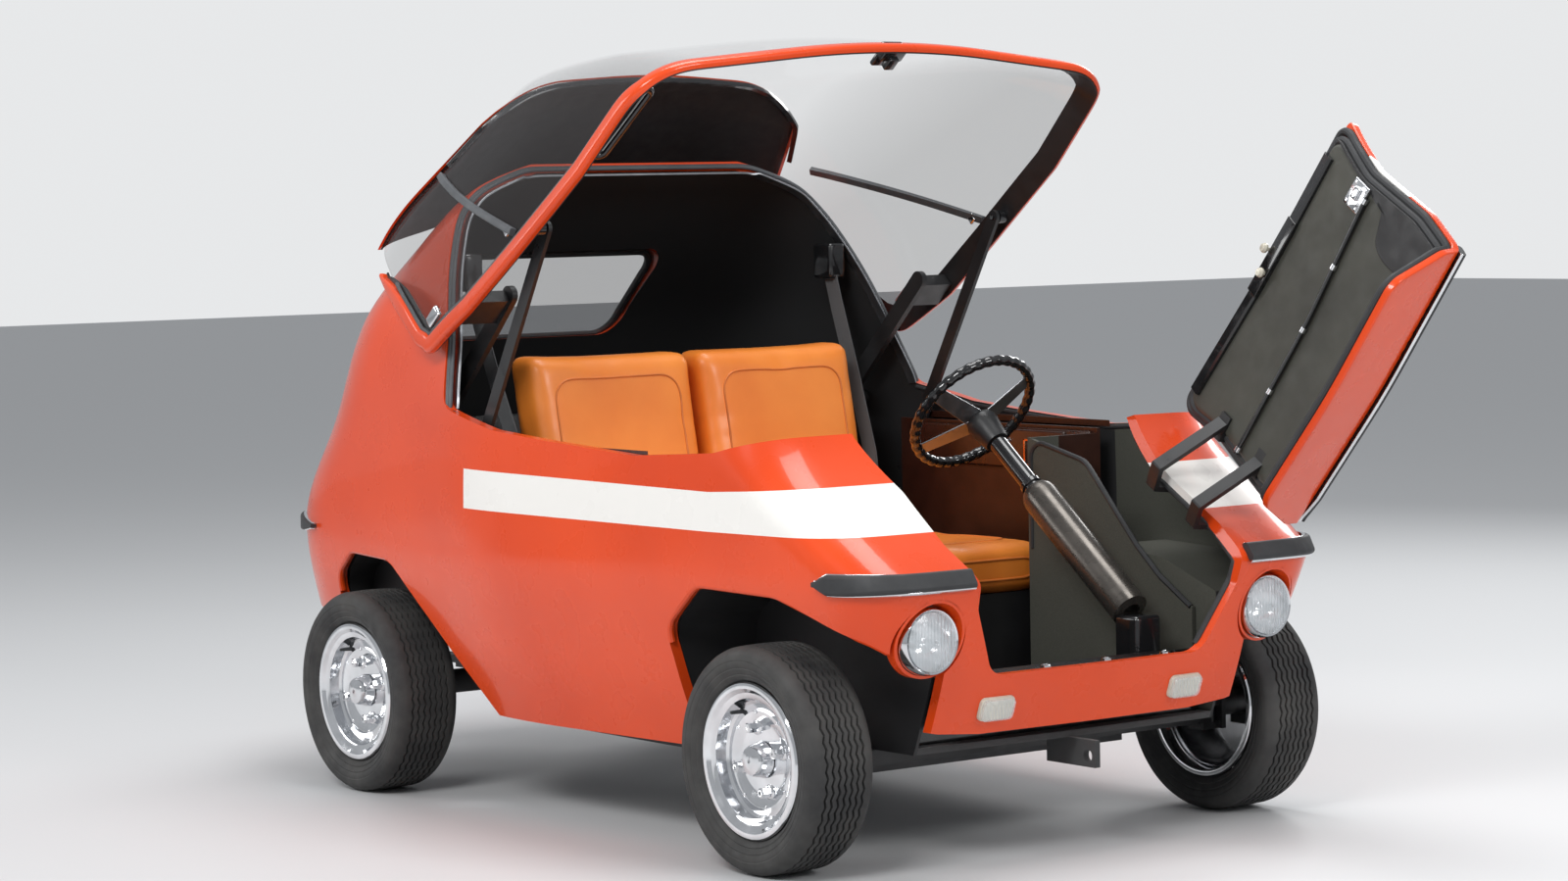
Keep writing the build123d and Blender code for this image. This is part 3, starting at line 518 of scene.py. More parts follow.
def settle(obj, body, slot, stands_for=(), motion=None, smooth=35.0):
    """Finish a piece: note its closed place, turn it open, scale it to metres and let it ride."""
    mesh = obj.data
    points = np.zeros(len(mesh.vertices) * 3)
    mesh.vertices.foreach_get("co", points)
    points = points.reshape(-1, 3)
    closed = mesh.attributes.new("closed_place", "FLOAT_VECTOR", "POINT")
    closed.data.foreach_set("vector", (points * MM).ravel())
    if motion is not None:
        points = motion(points)
    points = (points + (ORIGIN_X, 0, 0)) * MM
    mesh.vertices.foreach_set("co", points.ravel())
    mesh.update()
    mesh.shade_smooth()
    mesh.set_sharp_from_angle(angle=radians(smooth))
    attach(obj, body)
    if stands_for:
        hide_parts(*stands_for)


def soften(obj, width):
    """Round the sharp edges of a piece a little."""
    modifier = obj.modifiers.new("bevel", "BEVEL")
    modifier.width = width * MM
    modifier.segments = 2
    modifier.limit_method = "ANGLE"
    modifier.angle_limit = radians(40)


def piece(name, shape, materials, body="root", slot=None, stands_for=(), motion=None, smooth=35.0, bevel=0.0):
    """Make a finished piece of a shape."""
    obj = shape.raw(name, materials)
    tidy_mesh(obj)
    settle(obj, body, slot, stands_for, motion, smooth)
    if bevel:
        soften(obj, bevel)


# Materials

FELT_DARK = (0.042, 0.044, 0.034)
FELT_LIGHT = (0.1, 0.1, 0.082)


class Nodes:
    """A material's node tree with short calls to build it."""

    def __init__(self, name, color, roughness, metallic=0.0, **sockets):
        self.material = bpy.data.materials.new(name)
        self.material.use_nodes = True
        self.tree = self.material.node_tree
        self.shader = self.tree.nodes["Principled BSDF"]
        self.set("Base Color", (*color, 1))
        self.set("Roughness", roughness)
        self.set("Metallic", metallic)
        for socket, value in sockets.items():
            self.set(socket.replace("_", " "), value)

    def set(self, socket, value):
        self.shader.inputs[socket].default_value = value

    def node(self, kind, **inputs):
        made = self.tree.nodes.new(kind)
        for key, value in inputs.items():
            self.feed(made.inputs[key.replace("_", " ")], value)
        return made

    def feed(self, socket, value):
        if isinstance(value, bpy.types.NodeSocket):
            self.tree.links.new(value, socket)
        else:
            socket.default_value = value

    def math(self, operation, *values):
        made = self.tree.nodes.new("ShaderNodeMath")
        made.operation = operation
        for socket, value in zip(made.inputs, values):
            self.feed(socket, value)
        return made.outputs[0]

    def place(self):
        """Where a point lies with canopy and door closed, in metres."""
        made = self.tree.nodes.new("ShaderNodeAttribute")
        made.attribute_name = "closed_place"
        return made.outputs["Vector"]

    def objects(self):
        return self.tree.nodes.new("ShaderNodeTexCoord").outputs["Object"]

    def split(self, vector):
        return self.node("ShaderNodeSeparateXYZ", Vector=vector).outputs

    def noise(self, scale, detail=3.0):
        made = self.node("ShaderNodeTexNoise", Vector=self.objects(), Scale=scale, Detail=detail, Roughness=0.5)
        return made.outputs["Fac"]

    def ramp(self, value, *stops):
        made = self.tree.nodes.new("ShaderNodeValToRGB")
        while len(made.color_ramp.elements) < len(stops):
            made.color_ramp.elements.new(0.5)
        for element, (position, color) in zip(made.color_ramp.elements, stops):
            element.position = position
            element.color = (*color, 1)
        self.feed(made.inputs["Fac"], value)
        return made.outputs["Color"]

    def mix(self, share, first, second):
        made = self.tree.nodes.new("ShaderNodeMix")
        made.data_type = "RGBA"
        self.feed(made.inputs["Factor"], share)
        self.feed(made.inputs["A"], first)
        self.feed(made.inputs["B"], second)
        return made.outputs["Result"]

    def color(self, value):
        self.feed(self.shader.inputs["Base Color"], value)

    def spread(self, value, start, end, low, high):
        """A value between start and end, mapped to low and high."""
        made = self.node("ShaderNodeMapRange", Value=value, From_Min=start, From_Max=end, To_Min=low,
                         To_Max=high)
        return made.outputs[0]

    def rough(self, low, high, value):
        """Roughness that wanders between two values."""
        self.feed(self.shader.inputs["Roughness"], self.spread(value, 0.3, 0.7, low, high))

    def felt(self):
        """Fine noise of the olive felt, and its colour."""
        cloud = self.noise(1500, 3.0)
        return cloud, self.ramp(cloud, (0.3, FELT_DARK), (0.7, FELT_LIGHT))

    def bump(self, height, strength=0.3, distance=0.0005, after=None):
        made = self.node("ShaderNodeBump", Height=height, Strength=strength, Distance=distance)
        if after is not None:
            self.feed(made.inputs["Normal"], after)
        self.feed(self.shader.inputs["Normal"], made.outputs["Normal"])
        return made.outputs["Normal"]


def edge_line(nodes, x, points):
    """Height of a stripe's edge at x, straight between named places."""
    (x0, z0), (x1, z1), (x2, z2) = ((a * MM, b * MM) for a, b in points)
    first = nodes.math("MULTIPLY_ADD", x, (z1 - z0) / (x1 - x0), z0 - x0 * (z1 - z0) / (x1 - x0))
    second = nodes.math("MULTIPLY_ADD", x, (z2 - z1) / (x2 - x1), z1 - x1 * (z2 - z1) / (x2 - x1))
    return nodes.math("MAXIMUM", first, second)


def paint_material():
    """Gloss orange with the white stripe."""
    nodes = Nodes("orange_paint", (0.72, 0.06, 0.008), 0.3, Coat_Weight=0.45, Coat_Roughness=0.05,
                  Specular_IOR_Level=0.25)
    x, _, z = nodes.split(nodes.place())[:3]
    above = nodes.math("GREATER_THAN", z, edge_line(nodes, x, STRIPE_FOOT))
    below = nodes.math("LESS_THAN", z, edge_line(nodes, x, STRIPE_TOP))
    ahead = nodes.math("GREATER_THAN", x, STRIPE_START * MM)
    stripe = nodes.math("MULTIPLY", nodes.math("MULTIPLY", above, below), ahead)
    shade = nodes.noise(2.5, 2.0)
    orange = nodes.ramp(shade, (0.35, (0.68, 0.055, 0.006)), (0.65, (0.77, 0.068, 0.008)))
    nodes.color(nodes.mix(stripe, orange, (0.86, 0.84, 0.8, 1)))
    nodes.rough(0.24, 0.34, nodes.noise(14, 4.0))
    nodes.bump(nodes.noise(900, 1.0), 0.04, 0.0002)
    return nodes.material


def plastic(name, color, roughness=0.45, grain=700.0, depth=0.25, metallic=0.0, **more):
    """Moulded plastic or painted metal with a fine grain."""
    nodes = Nodes(name, color, roughness, metallic, **more)
    cloud = nodes.noise(9, 4.0)
    low, high = (tuple(c * k for c in color) for k in (0.8, 1.2))
    nodes.color(nodes.ramp(cloud, (0.3, low), (0.7, high)))
    nodes.rough(max(roughness - 0.08, 0.03), min(roughness + 0.1, 1.0), nodes.noise(35, 5.0))
    nodes.bump(nodes.noise(grain, 2.0), depth, 0.0003)
    return nodes.material


def metal(name, color, roughness=0.1, scratch=0.04):
    """Plated or bare metal with faint wear."""
    nodes = Nodes(name, color, roughness, 1.0)
    nodes.rough(max(roughness - 0.04, 0.02), roughness + 0.1, nodes.noise(60, 6.0))
    low = tuple(c * 0.85 for c in color)
    nodes.color(nodes.ramp(nodes.noise(22, 5.0), (0.35, low), (0.65, color)))
    nodes.bump(nodes.noise(260, 3.0), scratch, 0.0004)
    return nodes.material


def canopy_glass():
    """Canopy glazing: clear in front, faintly smoked at the sides."""
    nodes = Nodes("canopy_glass", (0.03, 0.022, 0.02), 0.03, Coat_Weight=1.0, Coat_Roughness=0.02)
    y = nodes.math("ABSOLUTE", nodes.split(nodes.place())[1])
    nodes.feed(nodes.shader.inputs["Alpha"], nodes.spread(y, 0.36, 0.5, 0.045, 0.2))
    nodes.rough(0.02, 0.09, nodes.noise(30, 6.0))
    return nodes.material


def smoked_glass():
    """Dark glass of the rear window."""
    nodes = Nodes("smoked_glass", (0.035, 0.028, 0.026), 0.03, Alpha=0.3, Coat_Weight=1.0, Coat_Roughness=0.02)
    nodes.rough(0.02, 0.16, nodes.noise(30, 6.0))
    return nodes.material


def leather_material():
    """Orange-tan leather with a pebble grain and faint creases."""
    nodes = Nodes("tan_leather", (0.86, 0.25, 0.03), 0.38, Coat_Weight=0.3, Coat_Roughness=0.25)
    cloud = nodes.noise(6, 4.0)
    nodes.color(nodes.ramp(cloud, (0.3, (0.82, 0.215, 0.022)), (0.7, (0.92, 0.28, 0.036))))
    nodes.rough(0.36, 0.52, nodes.noise(40, 5.0))
    cells = nodes.tree.nodes.new("ShaderNodeTexVoronoi")
    cells.inputs["Scale"].default_value = 620
    nodes.feed(cells.inputs["Vector"], nodes.objects())
    first = nodes.bump(cells.outputs["Distance"], 0.22, 0.0004)
    nodes.bump(nodes.noise(28, 5.0), 0.12, 0.002, after=first)
    return nodes.material


def carpet_material(name, color):
    """Short dark pile."""
    nodes = Nodes(name, color, 0.95)
    nodes.set("Sheen Weight", 0.3)
    tufts = nodes.noise(1400, 2.0)
    low, high = (tuple(c * k for c in color) for k in (0.55, 1.7))
    nodes.color(nodes.ramp(tufts, (0.35, low), (0.65, high)))
    nodes.bump(tufts, 0.8, 0.002)
    return nodes.material


def trim_material():
    """Brown side panels, and olive felt on the kick panels nearer the middle."""
    nodes = Nodes("cabin_lining", (0.04, 0.02, 0.01), 0.45)
    y = nodes.math("ABSOLUTE", nodes.split(nodes.objects())[1])
    inner = nodes.math("LESS_THAN", y, 0.4)
    cloud, olive = nodes.felt()
    brown = nodes.ramp(nodes.noise(20, 4.0), (0.3, (0.026, 0.008, 0.005)), (0.7, (0.045, 0.015, 0.009)))
    nodes.color(nodes.mix(inner, brown, olive))
    nodes.feed(nodes.shader.inputs["Roughness"], nodes.math("MULTIPLY_ADD", inner, 0.55, 0.3))
    nodes.bump(cloud, 0.35, 0.0008)
    return nodes.material


def inner_skin_material():
    """Black headlining, and olive felt inside the front fenders."""
    nodes = Nodes("inner_skin", (0.014, 0.014, 0.015), 0.85)
    x, _, z = nodes.split(nodes.place())[:3]
    front = nodes.math("MULTIPLY", nodes.math("GREATER_THAN", x, 0.34), nodes.math("GREATER_THAN", z, 0.4))
    cloud, olive = nodes.felt()
    nodes.color(nodes.mix(front, (0.012, 0.012, 0.013, 1), olive))
    nodes.bump(cloud, 0.3, 0.0008)
    return nodes.material


def tub_material():
    """Black wheel arches, felted where they face the cabin."""
    nodes = Nodes("wheel_tub_faces", (0.015, 0.015, 0.015), 0.6)
    x, y = nodes.split(nodes.objects())[:2]
    facing = nodes.split(nodes.node("ShaderNodeNewGeometry").outputs["Normal"])
    inward = nodes.math("LESS_THAN", nodes.math("MULTIPLY", y, facing[1]), -0.01)
    cabin = nodes.math("MAXIMUM", inward, nodes.math("GREATER_THAN", facing[2], 0.3))
    felt = nodes.math("MULTIPLY", cabin, nodes.math("GREATER_THAN", x, 0.2))
    cloud, olive = nodes.felt()
    nodes.color(nodes.mix(felt, (0.014, 0.014, 0.015, 1), olive))
    nodes.feed(nodes.shader.inputs["Roughness"], nodes.math("MULTIPLY_ADD", felt, 0.35, 0.5))
    nodes.bump(cloud, 0.3, 0.0008)
    return nodes.material


def tyre_material():
    """Dusty black rubber."""
    nodes = Nodes("tyre_rubber", (0.03, 0.03, 0.03), 0.75)
    cloud = nodes.noise(12, 6.0)
    nodes.color(nodes.ramp(cloud, (0.3, (0.022, 0.022, 0.023)), (0.7, (0.055, 0.053, 0.05))))
    nodes.rough(0.6, 0.85, nodes.noise(45, 6.0))
    nodes.bump(nodes.noise(500, 4.0), 0.25, 0.0006)
    return nodes.material


def lens_material():
    """Clear fluted lamp glass."""
    nodes = Nodes("lamp_lens", (0.85, 0.9, 0.93), 0.06, Alpha=0.32, Coat_Weight=1.0)
    x, y, _ = nodes.split(nodes.objects())[:3]
    flutes = nodes.math("SINE", nodes.math("MULTIPLY", nodes.math("ADD", x, y), 900.0))
    nodes.bump(flutes, 0.5, 0.0012)
    return nodes.material


PAINT = paint_material()
BLACK = plastic("black_trim", (0.014, 0.014, 0.015), 0.42)
GLOSS_BLACK = plastic("gloss_black", (0.01, 0.01, 0.011), 0.16, 300, 0.05, Coat_Weight=0.6)
RUBBER = plastic("seal_rubber", (0.028, 0.029, 0.031), 0.6, 900, 0.2)
GREY_RUBBER = plastic("grey_seal", (0.075, 0.08, 0.086), 0.5, 900, 0.15)
OLIVE = plastic("olive_lining", (0.052, 0.052, 0.042), 0.5, 1500, 0.5)
BROWN = plastic("brown_panel", (0.035, 0.012, 0.007), 0.3, 500, 0.12, Coat_Weight=0.4)
STEEL = plastic("black_steel", (0.016, 0.016, 0.017), 0.35, 260, 0.15)
CAST = plastic("cast_metal", (0.045, 0.045, 0.047), 0.55, 180, 0.5)
HEADLINER = plastic("headliner", (0.011, 0.011, 0.012), 0.8, 1100, 0.5)
CHROME = metal("chrome", (0.82, 0.83, 0.85), 0.07)
ALLOY = metal("satin_alloy", (0.42, 0.43, 0.45), 0.32, 0.1)
SLEEVE = plastic("column_sleeve", (0.1, 0.09, 0.08), 0.26, 200, 0.01, metallic=0.7)
LEATHER = leather_material()
CARPET = carpet_material("black_carpet", (0.012, 0.012, 0.013))
TYRE = tyre_material()
LINING = trim_material()
TUB = tub_material()
INNER_SKIN = inner_skin_material()
LENS = lens_material()
RED_LENS = plastic("red_lens", (0.42, 0.008, 0.006), 0.12, 200, 0.02, Coat_Weight=1.0)
SMOKED = smoked_glass()
GLASS = canopy_glass()
BELT = carpet_material("belt_webbing", (0.05, 0.053, 0.057))
COPPER = metal("copper_trim", (0.8, 0.36, 0.16), 0.2)
# Seat piping: the beads are real, but their colour is darker than the leather as painted shade of sunken seams
SHADED_PIPING = plastic("seat_piping_painted_shade", (0.62, 0.17, 0.028), 0.5, 900, 0.3)
IVORY = plastic("ivory_knob", (0.62, 0.58, 0.48), 0.25, 200, 0.02)


# Skins

BODY_LEVELS = np.concatenate([np.linspace(175, 485, 17), np.linspace(490, 520, 7), np.linspace(535, 735, 11),
                              np.linspace(755, 1170, 23), np.linspace(1180, 1229, 7)])
CANOPY_LEVELS = np.concatenate([np.linspace(700, 1170, 27), np.linspace(1182, 1262, 9)])
BODY = Form(BODY_TABLE, BODY_LEVELS, BODY_BOW)
CANOPY = Form(CANOPY_TABLE, CANOPY_LEVELS, CANOPY_BOW)


def canopy_mask(down=0.0, back=0.0):
    """Side-view outline of the canopy, its seams moved down and back."""
    corner = (BELT_LINE[0][0] - back, BELT_LINE[0][1] - down, 46)
    belt = [(x, z - down, 120) for x, z in BELT_LINE[1:]]
    hoop = [(x - back, z, 90) for x, z in HOOP_LINE[1:-1]]
    above = [(BELT_LINE[-1][0], 1400.0, 1), (HOOP_LINE[0][0] - back, 1400.0, 1)]
    return rounded([corner] + belt + above + hoop, 8)


def door_outline():
    """Front-view outline of the door opening."""
    half = [(y, z, 30) for y, z in DOOR_OUTLINE]
    half[0] = (*half[0][:2], 40)
    half[-1] = (*half[-1][:2], 1)
    return rounded(half + [(-y, z, r) for y, z, r in half[::-1]], 6)


def round_rect(a0, a1, b0, b1, radius, step=2.0):
    """Outline of a rectangle with round corners."""
    return rounded([(a0, b0, radius), (a1, b0, radius), (a1, b1, radius), (a0, b1, radius)], step)


HEADLAMP = (941.0, 386.0, 407.0)
HEADLAMP_R = 52.0
BEZEL_R = 58.0
SCOOP_R = 71.0


def body_skin():
    """The fixed orange body in one skin, with its openings."""
    shape = Shape().shell(BODY.offset(0), BODY.offset(SKIN, foot=4), 1)
    obj = shape.raw("body_skin", [PAINT, INNER_SKIN])
    hem = [(-2000, 0), (-2000, TAIL_HEM_Z), (TAIL_HEM_X, TAIL_HEM_Z), (TAIL_HEM_X, HEM_Z),
           (2000, HEM_Z), (2000, 0)]
    nose = [(-900, 100)] + NOSE_HEM + [(900, 100)]
    arches = []
    for corners, y in ((FRONT_ARCH, FRONT_TUB_Y), (REAR_ARCH, REAR_TUB_Y)):
        outline = rounded(corners)
        arches.append(Shape().prism(outline, y, 900).prism(outline, -900, -y))
    lamps = Shape().lathe([(0.01, -100), (SCOOP_R, -100), (SCOOP_R, 200), (0.01, 200)], HEADLAMP, (1, 0, 0))
    lamps.mirrored()
    window = round_rect(-255, 255, 868, 1052, 50, 4)
    carve(obj, [Shape().prism(hem, -900, 900), Shape().prism(nose, 700, 1300, "front"), *arches,
                Shape().prism(canopy_mask(SEAM + 2, SEAM), -900, 900),
                Shape().prism(door_outline(), 560, 1160, "front"), lamps,
                Shape().prism(window, -1100, -700, "front")])
    settle(obj, "root", "paint", ("nose", "fenders", "side_panels", "quarters", "tail_panel", "rear_roof"))


def lamp_scoops():
    """Bowls that carry the recessed headlamps."""
    profile = [(SCOOP_R + 2, 60), (SCOOP_R - 3, 60), (SCOOP_R - 4, 4), (BEZEL_R + 4, -28), (BEZEL_R + 1, -40),
               (BEZEL_R + 1, -62), (BEZEL_R + 6, -62), (BEZEL_R + 6, -40), (SCOOP_R + 2, 2)]
    shape = Shape().lathe(profile, HEADLAMP, (1, 0, 0), segments=72).mirrored()
    obj = shape.raw("lamp_scoops", [PAINT])
    tidy_mesh(obj)
    carve(obj, [Shape().add(*BODY.offset(0))], "INTERSECT")
    settle(obj, "root", "paint")


def headlamps():
    """Bright bezels, reflectors and fluted lenses."""
    bezel = [(HEADLAMP_R - 2, -26), (HEADLAMP_R - 1, -17), (HEADLAMP_R + 3, -14), (BEZEL_R - 1, -18),
             (BEZEL_R, -26), (BEZEL_R, -40), (HEADLAMP_R - 2, -40)]
    bowl = [(0.01, -70), (20, -68), (38, -56), (HEADLAMP_R - 1, -27), (HEADLAMP_R - 1, -40), (40, -62),
            (0.01, -76)]
    shape = Shape().lathe(bezel, HEADLAMP, (1, 0, 0), 72).lathe(bowl, HEADLAMP, (1, 0, 0), 72)
    shape.lathe([(0.01, -34), (8, -36), (9, -44), (9, -68), (0.01, -68)], HEADLAMP, (1, 0, 0), 24)
    shape.mirrored()
    piece("headlamp_bezels", shape, [CHROME], "root", "chrome", ["headlamps"])
    rise = 120.0
    dome = []
    for share in np.linspace(0, 1, 10):
        r = max(share * (HEADLAMP_R - 1.5), 0.01)
        dome.append((r, -2 - (rise - sqrt(rise * rise - r * r))))
    back = [(r, a - 3) for r, a in dome[::-1]]
    lens = Shape().lathe(dome + back, HEADLAMP, (1, 0, 0), 72)
    piece("headlamp_lenses", lens.mirrored(), [LENS], "root", "lamp_glass")


# Canopy

RAIL_W = 34.0
RAIL_T = 14.0
RAIL_TOP_Z = 1075.0


def at_belt(k):
    """Point and normal where a place of the canopy's ring meets the belt line."""
    xs, zs = zip(*BELT_LINE)
    low, high = 701.0, 830.0
    for _ in range(24):
        z = (low + high) / 2
        point, normal = CANOPY.pick(z, k, 1)
        low, high = (low, z) if z > np.interp(point[0], xs, zs) else (z, high)
    return point, normal


def hoop_x(z):
    """Place along X of the canopy's rear edge at a height."""
    xs, zs = zip(*HOOP_LINE[::-1])
    return np.interp(z, zs, xs)


def seam_path():
    """The rail's line: up the right hoop, round the front by the belt and up the left hoop."""
    places, normals = [], []
    for k in np.linspace(0, RING_POINTS / 2, 260):
        point, normal = at_belt(k)
        if point[0] < BELT_LINE[0][0]:
            break
        places.append(point)
        normals.append(normal)
    corner = len(places)
    for z in np.arange(790, RAIL_TOP_Z, 7.0):
        point, normal = CANOPY.side(hoop_x(z), z)
        places.append(point)
        normals.append(normal)
    places, normals = np.array(places), np.array(normals)
    run = np.concatenate([[0], np.cumsum(np.linalg.norm(np.diff(places, axis=0), axis=1))])
    middle, reach = run[corner - 1], 46.0
    start, end = (int(np.searchsorted(run, middle + s * reach)) for s in (-1, 1))
    tip = places[corner - 1]
    for k in range(start, end + 1):
        t = (run[k] - run[start]) / (run[end] - run[start])
        spot = (1 - t) ** 2 * places[start] + 2 * t * (1 - t) * tip + t * t * places[end]
        places[k], normals[k] = CANOPY.side(spot[0], spot[2])
    half = resampled(np.hstack([places, normals]), 210)
    whole = np.vstack([half[:0:-1] * (1, -1, 1, 1, -1, 1), half])
    places, normals = whole[:, :3], whole[:, 3:]
    normals /= np.linalg.norm(normals, axis=1, keepdims=True)
    along = np.gradient(places, axis=0)
    along /= np.linalg.norm(along, axis=1, keepdims=True)
    inwards = np.cross(along, normals)
    inwards /= np.linalg.norm(inwards, axis=1, keepdims=True)
    if inwards[len(inwards) // 2][2] < 0:
        inwards = -inwards
    return places, inwards, normals


def rounded_band(low, high, foot, top, radius, steps=4):
    """Profile of a flat band with rounded upper edges, as (across, out)."""
    points = [(low, foot)]
    for k in range(steps + 1):
        a = pi / 2 * k / steps
        points.append((low + radius * (1 - cos(a)), top - radius * (1 - sin(a))))
    for k in range(steps + 1):
        a = pi / 2 * k / steps
        points.append((high - radius * (1 - sin(a)), top - radius * (1 - cos(a))))
    return np.array(points + [(high, foot)])


def rail_profiles(count, profile, taper=18):
    """The profile for each point of the path, narrowed at both ends."""
    share = np.minimum(np.arange(count), np.arange(count)[::-1]) / taper
    share = np.clip(share, 0.12, 1) ** 0.6
    made = np.repeat(profile[None], count, 0)
    made[:, :, 0] *= share[:, None]
    return made


def canopy():
    """Raised canopy: rail, inner cladding, glass, roof, headliner, division bars and small fittings."""
    canopy_rail()
    whole = Shape().prism(canopy_mask(), -900, 900)
    within = Shape().prism(canopy_mask(-RAIL_W + 6, -RAIL_W + 6), -900, 900)
    top = Shape().prism(ROOF_LINE, -900, 900)
    pane = Shape().shell(*(CANOPY.offset(depth) for depth in PANE)).raw("canopy_panes", [GLASS])
    carve(pane, [within], "INTERSECT")
    carve(pane, [top])
    settle(pane, "canopy", "smoked_glass", ["canopy_glass"], open_canopy, 50)
    for name, out, deep, material, slot, old in (
            ("canopy_roof_skin", 0, 4.5, PAINT, "paint", "canopy_roof"),
            ("canopy_headliner", 4.8, 8.6, HEADLINER, "liner", "canopy_liner")):
        panel = Shape().shell(CANOPY.offset(out), CANOPY.offset(deep)).raw(name, [material])
        carve(panel, [whole, top], "INTERSECT")
        settle(panel, "canopy", slot, [old], open_canopy)
    roof_lip()
    canopy_fittings()
    division_bars()


def canopy_rail():
    """Painted rail with its inner cladding, the glass bead and the bright strip in front."""
    places, inwards, normals = SEAM_PATH
    count = len(places)
    middle = count // 2
    whole, glazed, front = slice(0, count), slice(12, count - 12), slice(middle - 62, middle + 63)
    for name, part, band, material, slot, old in (
            ("canopy_rail_skin", whole, (0, RAIL_W, -RAIL_T + 2, 2.0, 9.0), PAINT, "paint", ["canopy_rail"]),
            ("canopy_rail_lining", whole, (1, RAIL_W + 15, -RAIL_T - 1, -RAIL_T + 2.5, 3), BLACK,
             "black_trim", ()),
            ("canopy_glass_bead", glazed, (RAIL_W - 1, RAIL_W + 5, -9, -3.2, 2), GREY_RUBBER, "rubber", ()),
            ("canopy_front_strip", front, (RAIL_W + 13, RAIL_W + 24, -RAIL_T + 2, -RAIL_T + 5, 1.5), ALLOY,
             "steel", ())):
        profile = rounded_band(*band)
        if part == whole:
            profile = rail_profiles(count, profile)
        shape = Shape().sweep(places[part], inwards[part], normals[part], profile)
        piece(name, shape, [material], "canopy", slot, old, open_canopy, 50)


def division_bars():
    """Bars between the windshield and the side glass."""
    bars = Shape()
    for _, sign in SIDES:
        spots = [(*(a + (b - a) * t for a, b in zip(*DIVISION)), sign) for t in np.linspace(0.03, 1, 30)]
        line, outs = traced(CANOPY.side, spots)
        bars.sweep(line, across_of(line, outs), outs, rounded_band(-7, 7, -12, 0.5, 3))
    piece("canopy_division_bars", bars, [GREY_RUBBER], "canopy", "rubber", (), open_canopy, 50)


def roof_lip():
    """Black lip along the front edge of the roof panel."""
    (x0, z0), (x1, z1) = ROOF_LINE[1], ROOF_LINE[2]
    spots = [(x0 + (x1 - x0) * (z - z0) / (z1 - z0) if z >= z0 else x0 - (z0 - z) * 12, z)
             for z in np.linspace(1170, 1258, 40)]
    line, outs = traced(CANOPY.side, spots)
    shape = Shape().sweep(line, across_of(line, outs), outs, rounded_band(-5, 5, -14, -3.5, 3)).mirrored()
    piece("canopy_roof_lip", shape, [GLOSS_BLACK], "canopy", "black_trim", (), open_canopy, 50)


# Door


def door_top(y, inset):
    """Height of the closed door's upper edge at a place across it."""
    xs, zs = zip(*BELT_LINE)
    z = 735.0
    for _ in range(6):
        point, _ = BODY.front(y, z)
        z = np.interp(point[0], xs, zs) - SEAM - 2 - inset
    return z


def door_shape(inset, corner=12.0):
    """Front-view outline of the door, with its upper edge under the belt."""
    half = [(y - inset, z, 30) for y, z in DOOR_OUTLINE[:-2]]
    half[0] = (half[0][0], half[0][1] + inset, 40)
    top_y = 326 - inset
    top = [(y, door_top(y, inset), 1) for y in np.linspace(top_y - 30, -top_y + 30, 15)]
    corners = half + [(top_y, door_top(top_y, inset), corner)] + top
    corners += [(-top_y, door_top(top_y, inset), corner)] + [(-y, z, r) for y, z, r in half[::-1]]
    return resampled(rounded(corners, 5), 360, closed=True)


def inward_of(outline):
    """Unit vectors across a closed outline, towards its inside."""
    along = np.roll(outline, -1, 0) - np.roll(outline, 1, 0)
    inward = np.column_stack([-along[:, 1], along[:, 0]])
    inward /= np.linalg.norm(inward, axis=1, keepdims=True)
    return inward if ((outline.mean(0) - outline) * inward).sum() >= 0 else -inward


def nose_sheet(outline, edge, deep):
    """A sheet of some depth that follows the nose, its outer rim rounded."""
    middle, inward = outline.mean(0), inward_of(outline)
    shrunk = outline + inward * edge
    rings = [(middle + (shrunk - middle) * share, 0.0) for share in np.linspace(0.04, 0.96, 15)]
    for a in np.linspace(0, pi / 2, 6):
        rings.append((outline + inward * edge * (1 - sin(a)), edge * (1 - cos(a))))
    rings += [(outline, deep - 2), (outline + inward * 2, deep)]
    rings += [(middle + (shrunk - middle) * share, deep) for share in np.linspace(0.96, 0.04, 8)]
    return loft([on_door(flat, depth)[0] for flat, depth in rings])


def on_door(outline, depth):
    """Points of a front-view line on the nose at some depth, with their normals."""
    points, normals = traced(BODY.front, outline)
    return points - normals * depth, normals


def door():
    """Raised front door: skin, padded panel, seals, latch plate, linkage rod and knobs."""
    skin = Shape().add(*nose_sheet(door_shape(SEAM), 3.0, 14.0))
    piece("door_skin", skin, [PAINT], "front_door", "paint", ["door_outer"], open_door)
    pad = Shape().add(*padding(door_shape(30, 24), 14.6, 39.0, 10.0, 1.5))
    piece("door_pad", pad, [OLIVE], "front_door", "trim", ["door_inner"], open_door)
    seal = Shape()
    for inset, depth, radius in ((15, 21, 7.5), (27, 27, 8.0)):
        line, _ = on_door(door_shape(inset, 20), depth)
        seal.pipe(line, radius, closed=True, sides=10)
    piece("door_seal", seal, [RUBBER], "front_door", "rubber", (), open_door)
    rubber, bright = Shape(), Shape()
    line, outs = on_door([(y, STRIP_Z) for y in np.linspace(-292, 290, 60)], 0)
    strip(rubber, bright, line, outs, 0)
    piece("door_strip_rubber", rubber, [RUBBER], "front_door", "rubber", ["door_strip"], open_door, 40)
    piece("door_strip_edges", bright, [CHROME], "front_door", "chrome", (), open_door, 50)
    door_fittings()


def rod_spot(y):
    """Front-view place of the long rod at a place across the door."""
    return y, ROD_Z + (ROD_ENDS[0] - y) * ROD_RISE


